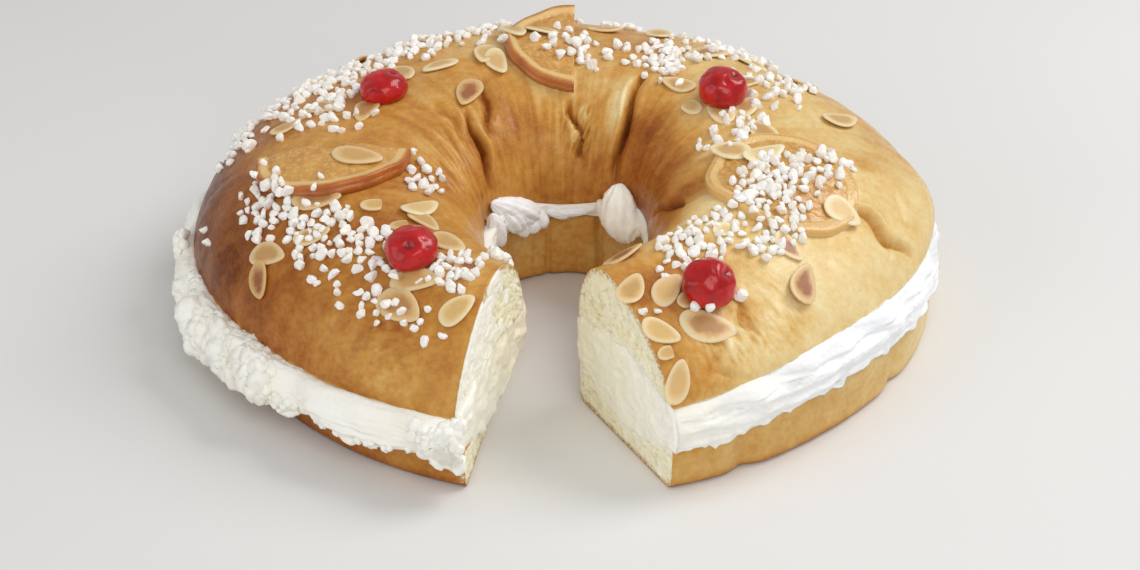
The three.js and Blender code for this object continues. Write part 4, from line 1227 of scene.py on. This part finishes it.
def sugar(look):
    """Grains with flat facets, each of several crystals that grew together."""
    draw = np.random.default_rng(12)
    places, outs = grain_places(draw)
    count = len(places)
    round_it, blocks = ball(*GRAIN_GRID)

    def towards(directions):
        """How far each point of the ball lies towards directions: [grain, point, direction]."""
        return np.einsum("md,nkd->nmk", round_it, directions)

    facing = towards(unit(draw.normal(size=(count, GRAIN_FACETS, 3))))
    depth = draw.uniform(0.55, 1.0, (count, GRAIN_FACETS))
    radius = np.where(facing > 0.05, depth[:, None, :] / np.maximum(facing, 0.05), 9).min(-1)
    near = towards(unit(draw.normal(size=(count, GRAIN_KNOBS, 3))))
    radius = np.minimum(radius, 1.1) + 0.12 * (np.clip(near - 0.7, 0, 1) / 0.3).max(-1)
    radius = radius * (1 + 0.03 * draw.normal(size=radius.shape))
    low, high = GRAIN_HALF_SIZES
    sizes = draw.uniform(low, high, (count, 3)) * draw.uniform(0.7, 1.1, (count, 1))
    local = round_it[None] * radius[..., None] * sizes[:, None, :]
    # A bend and a bulge to one side make the grains uneven.
    local[..., 0] += draw.normal(0, 0.12, (count, 1)) * local[..., 1] ** 2
    local[..., 1] *= 1 + draw.uniform(-0.3, 0.3, (count, 1)) * local[..., 0] / high
    turned, _ = np.linalg.qr(draw.normal(size=(count, 3, 3)))
    centres = places + outs * sizes.mean(1)[:, None] * 0.5
    shape = Shape()
    for points in np.einsum("nmd,nde->nme", local, turned) + centres[:, None]:
        shape.add(points, blocks)
    shape.piece("pearl_sugar", look, "pearl_sugar", "bread_top", smooth=False)


# ------------------------------------------------------------ materials
def srgb(*colour):
    """A linear colour from the 0 to 255 values of a screen."""
    made = [((c / 255 + 0.055) / 1.055) ** 2.4 if c > 10 else c / 255 / 12.92 for c in colour]
    return (*made, 1.0)


class Look:
    """Builds the nodes of one material. Colours are the 0 to 255 values of a screen."""

    def __init__(self, name):
        self.material = bpy.data.materials.new(name)
        self.material.use_nodes = True
        self.tree = self.material.node_tree
        self.shader = self.tree.nodes["Principled BSDF"]
        self.where = self.node("ShaderNodeTexCoord").outputs["Object"]

    def node(self, kind, inputs=(), **settings):
        made = self.tree.nodes.new(kind)
        for name, value in settings.items():
            setattr(made, name, value)
        for name, value in dict(inputs).items():
            self.put(made.inputs[name], value)
        return made

    def put(self, socket, value):
        if isinstance(value, bpy.types.NodeSocket):
            self.tree.links.new(value, socket)
        else:
            socket.default_value = srgb(*value) if socket.type == "RGBA" else value

    def set(self, **inputs):
        for name, value in inputs.items():
            self.put(self.shader.inputs[name.replace("_", " ")], value)
        return self.material

    def value(self, name):
        return self.node("ShaderNodeAttribute", attribute_name=name).outputs["Fac"]

    def noise(self, size, detail=3.0, distortion=0.0):
        """Noise with features of a size in mm."""
        inputs = {"Vector": self.where, "Scale": 1 / (size * MM), "Detail": detail,
                  "Distortion": distortion}
        return self.node("ShaderNodeTexNoise", inputs).outputs["Fac"]

    def math(self, operation, a, b, clamp=False):
        return self.node("ShaderNodeMath", {0: a, 1: b}, operation=operation,
                         use_clamp=clamp).outputs[0]

    def add(self, first, *others):
        for other in others:
            first = self.math("ADD", first, other)
        return first

    def times(self, a, b):
        return self.math("MULTIPLY", a, b)

    def remap(self, value, low, high, to_low=0.0, to_high=1.0):
        inputs = {"Value": value, "From Min": low, "From Max": high, "To Min": to_low,
                  "To Max": to_high}
        made = self.node("ShaderNodeMapRange", inputs, interpolation_type="SMOOTHSTEP")
        return made.outputs["Result"]

    def ramp(self, value, *stops):
        made = self.node("ShaderNodeValToRGB", {"Fac": value})
        elements = made.color_ramp.elements
        while len(elements) < len(stops):
            elements.new(0.5)
        for element, (place, colour) in zip(elements, stops):
            element.position = place
            element.color = srgb(*colour)
        return made.outputs["Color"]

    def mix(self, factor, a, b):
        inputs = {"Factor": factor, 6: a, 7: b}
        return self.node("ShaderNodeMix", inputs, data_type="RGBA").outputs[2]

    def bump(self, height, depth):
        """Bump whose full height is a depth in mm."""
        inputs = {"Height": height, "Distance": depth * MM, "Strength": 1.0}
        return self.node("ShaderNodeBump", inputs).outputs["Normal"]


def crust_look(name, gloss):
    look = Look(name)
    broad, middle, fine = look.noise(38), look.noise(11, 4, 0.4), look.noise(2.2)
    # The crust's colour is its baked colour with painted shade and painted highlights.
    bake_and_shade = look.add(look.value("bake_and_shade"), look.remap(broad, 0.3, 0.7, -0.07, 0.07),
                    look.remap(middle, 0.3, 0.7, -0.04, 0.04),
                    look.remap(look.noise(4.5, 4), 0.35, 0.65, -0.025, 0.025),
                    look.remap(fine, 0.3, 0.75, -0.04, 0.04))
    # Painted shade in the valleys of folds and creases, painted light on their ridges.
    bake_and_shade = look.math("SUBTRACT", bake_and_shade, look.times(look.value("fold"), 0.28), clamp=True)
    colour = look.ramp(bake_and_shade, (0.0, (240, 222, 174)), (0.25, (226, 193, 127)),
                       (0.5, (205, 149, 72)), (0.75, (166, 98, 38)), (1.0, (110, 50, 12)))
    grain = look.add(look.times(fine, 0.5), look.noise(0.7, 2))
    return look.set(
        Base_Color=colour, Roughness=look.remap(middle, 0.3, 0.7, 0.5 - gloss, 0.62 - gloss),
        Subsurface_Weight=0.12, Subsurface_Radius=(0.004, 0.002, 0.001), Subsurface_Scale=0.6,
        Coat_Weight=look.remap(look.noise(4, 4), 0.45, 0.62, 0.05, 1.2 * gloss),
        Coat_Roughness=0.18, Specular_IOR_Level=0.25, Specular_Tint=(255, 222, 168),
        Normal=look.bump(grain, 0.24))


def crumb_look():
    look = Look("crumb")
    patch, fine = look.noise(7, 4), look.noise(1.3)
    colour = look.ramp(patch, (0.3, (244, 232, 192)), (0.7, (253, 246, 222)))
    # Painted shade: the crumb is painted darker and yellower in its pores.
    pore = look.remap(look.value("pore"), 0.0, 0.35, 0.0, 0.5)
    colour = look.mix(pore, colour, (226, 204, 152))
    crust = look.remap(look.value("crust"), 0.2, 3.2, 1.0, 0.0)
    colour = look.mix(look.times(crust, look.remap(fine, 0.3, 0.6)), colour, (196, 144, 82))
    from_cream = look.math("SUBTRACT", look.value("cream"), look.times(patch, 9.0))
    colour = look.mix(look.remap(from_cream, -5.0, 1.0, 0.75, 0.0), colour, (251, 245, 222))
    return look.set(Base_Color=colour, Roughness=0.85, Subsurface_Weight=0.3,
                    Subsurface_Radius=(0.004, 0.003, 0.002), Subsurface_Scale=1.0,
                    Normal=look.bump(fine, 0.5))


def cream_look():
    look = Look("cream")
    patch, deep = look.noise(16), look.value("deep")
    colour = look.ramp(patch, (0.3, (251, 248, 234)), (0.7, (255, 253, 246)))
    # Painted shade: the cream is painted yellower where this value is above 0.
    colour = look.mix(look.remap(deep, 0.1, 1.0, 0.0, 0.8), colour, (250, 242, 212))
    # Painted light: the cream is painted whiter and bluer where this value is below 0.
    colour = look.mix(look.remap(deep, -1.0, 0.0, 0.9, 0.0), colour, (250, 252, 255))
    return look.set(Base_Color=colour, Roughness=0.55, Subsurface_Weight=0.15,
                    Subsurface_Radius=(0.0015, 0.0013, 0.0011), Subsurface_Scale=1.0,
                    Normal=look.bump(look.add(look.noise(2.0), look.noise(4.5, 2)), 0.4))


def cherry_look():
    look = Look("glace_cherry")
    colour = look.ramp(look.noise(6), (0.25, (148, 8, 12)), (0.6, (194, 20, 22)),
                       (0.85, (212, 40, 34)))
    # Painted shade: the cherry is painted darker red in the hollow of the stalk's dimple.
    dimple = look.remap(look.value("dimple"), 0.3, 1.0, 0, 0.7)
    colour = look.mix(dimple, colour, (96, 6, 10))
    return look.set(Base_Color=colour, Roughness=0.24, Subsurface_Weight=0.25,
                    Subsurface_Radius=(0.008, 0.0015, 0.001), Subsurface_Scale=1.0,
                    Coat_Weight=0.35, Coat_Roughness=0.08, Specular_IOR_Level=0.3,
                    Normal=look.bump(look.noise(3.0, 2), 0.25))


def orange_look():
    look = Look("candied_orange")
    radius, grain, patch = look.value("radius"), look.noise(1.6), look.noise(9, 2)
    pith = (236, 202, 138)
    flesh = look.ramp(patch, (0.3, (192, 132, 54)), (0.7, (214, 162, 82)))
    flesh = look.mix(look.remap(grain, 0.45, 0.7, 0, 0.5), flesh, (236, 200, 128))
    colour = look.mix(look.times(look.value("membrane"), 0.2), flesh, pith)
    band = look.times(look.remap(radius, 0.8, 0.85), look.remap(radius, 0.89, 0.93, 1, 0))
    colour = look.mix(look.times(band, 0.75), colour, pith)
    rind = look.ramp(patch, (0.3, (158, 80, 18)), (0.75, (192, 108, 32)))
    rind = look.mix(look.value("pale"), rind, (232, 190, 116))
    colour = look.mix(look.remap(radius, 0.91, 0.96), colour, rind)
    return look.set(Base_Color=colour, Roughness=0.32, Subsurface_Weight=0.35,
                    Subsurface_Radius=(0.006, 0.003, 0.001), Subsurface_Scale=1.0,
                    Coat_Weight=0.25, Coat_Roughness=0.12, Normal=look.bump(grain, 0.3))


def almond_look():
    look = Look("almond")
    rim, toast, kind = (look.value(name) for name in ("rim", "toast", "kind"))
    patch, fibre = look.noise(5), look.noise(1.2)
    spot = look.add(rim, look.remap(patch, 0.3, 0.7, -0.2, 0.2))
    spot = look.times(look.remap(spot, 0.35, 0.85, 1, 0), toast)
    # The flake's tone carries the crust's painted shade as well as its own toast.
    pale = look.ramp(kind, (0.0, (240, 214, 152)), (0.35, (230, 192, 122)),
                     (1.0, (196, 146, 82)))
    colour = look.mix(spot, pale, (152, 84, 42))
    border = look.ramp(kind, (0.0, (253, 240, 204)), (1.0, (216, 176, 114)))
    colour = look.mix(look.remap(rim, 0.5, 1.0, 0.0, 0.95), colour, border)
    colour = look.mix(look.remap(fibre, 0.5, 0.8, 0, 0.18), colour, (176, 122, 66))
    return look.set(Base_Color=colour, Roughness=0.5, Subsurface_Weight=0.25,
                    Subsurface_Radius=(0.003, 0.002, 0.001), Subsurface_Scale=1.0,
                    Coat_Weight=0.3, Coat_Roughness=0.25, Normal=look.bump(fibre, 0.12))


def sugar_look():
    look = Look("pearl_sugar")
    colour = look.ramp(look.noise(14, 2), (0.3, (248, 241, 229)), (0.65, (254, 252, 248)))
    return look.set(Base_Color=colour, Roughness=0.42, Subsurface_Weight=0.2,
                    Subsurface_Radius=(0.0015, 0.0014, 0.0012), Subsurface_Scale=1.0,
                    Coat_Weight=0.1, Coat_Roughness=0.2, Normal=look.bump(look.noise(0.9), 0.25))


def floor_look():
    look = Look("floor")
    colour = look.ramp(look.noise(300, 2), (0.3, (226, 225, 223)), (0.7, (230, 229, 227)))
    return look.set(Base_Color=colour, Roughness=0.7)


# ------------------------------------------------------------ the object
def roscon():
    lid = lid_crust(crust_look("glazed_crust", 0.22))
    base = base_crust(crust_look("base_crust", 0.06))
    right, lid_left = CutPlane(RIGHT_CUT, -1), CutPlane(LEFT_CUT_LID, 1)
    cut_crumb = crumb_look()
    for name, plane, end, node, seed, cream_side in (
            ("crumb_lid_right", right, lid[0], "bread_top", 71, -1),
            ("crumb_lid_left", lid_left, lid[-1], "bread_top", 74, -1),
            ("crumb_base_right", right, base[0], "bread_base", 77, 1),
            ("crumb_base_left", CutPlane(LEFT_CUT_BASE, 1), base[-1], "bread_base", 80, 1)):
        crumb(name, cut_crumb, plane, end, node, seed, cream_side)
    white = cream_look()
    cream(white)
    curds(white)
    smear(white, lid_left, lid[-1])
    red, orange = cherry_look(), orange_look()
    for name, place in CHERRIES.items():
        cherry(name, red, *place)
    for name, place in SLICES.items():
        orange_slice(name, orange, *place)
    almonds(almond_look())
    sugar(sugar_look())


# ------------------------------------------------------------ floor, light and camera
FLOOR_REACH = 4.0  # in metres, as the places and diameters of the lights
LIGHT_TARGET = (0, -0.02, 0.05)
LIGHTS = {  # place, diameter, power in watts
    "key": ((0.8, 0.25, 1.0), 0.8, 8.5),
    "front": ((0.2, -1.1, 0.9), 0.9, 4.9),
    "fill": ((-1.1, -0.7, 0.6), 1.2, 4),
}
SKY_STRENGTH = 0.42

CAMERA_PLACE = (4.4, -884.1, 531.8)  # mm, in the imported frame
CAMERA_TARGET = (4.4, -57.2, 40)
CAMERA_FOCAL_PIXELS = 2540
FRAME_WIDTH_PIXELS = 1140
SENSOR_WIDTH = 36


def aimed(made, place, target):
    """Puts a light or the camera at a place, looking at a target."""
    made.location = place
    made.rotation_euler = (Vector(target) - Vector(place)).to_track_quat("-Z", "Y").to_euler()


def floor():
    mesh = bpy.data.meshes.new("floor")
    corners = ((-1, -1), (1, -1), (1, 1), (-1, 1))
    mesh.from_pydata([(x * FLOOR_REACH, y * FLOOR_REACH, 0) for x, y in corners], [],
                     [(0, 1, 2, 3)])
    mesh.materials.append(floor_look())
    placed("floor", mesh)


def lights():
    for name, (place, diameter, power) in LIGHTS.items():
        data = bpy.data.lights.new(name, "AREA")
        data.shape = "DISK"
        data.size = diameter
        data.energy = power
        aimed(placed(name, data), place, LIGHT_TARGET)
    world = bpy.data.worlds.new("studio")
    bpy.context.scene.world = world
    world.use_nodes = True
    sky = world.node_tree.nodes["Background"].inputs
    sky["Color"].default_value = (1, 1, 1, 1)
    sky["Strength"].default_value = SKY_STRENGTH


def camera():
    data = bpy.data.cameras.new("camera")
    data.sensor_fit = "HORIZONTAL"
    data.sensor_width = SENSOR_WIDTH
    data.lens = SENSOR_WIDTH * CAMERA_FOCAL_PIXELS / FRAME_WIDTH_PIXELS
    data.clip_start = 0.01
    made = placed("camera", data)
    aimed(made, Vector(CAMERA_PLACE) * MM, Vector(CAMERA_TARGET) * MM)
    bpy.context.scene.camera = made


bpy.context.scene.view_settings.view_transform = "Standard"
camera()
roscon()
floor()
lights()
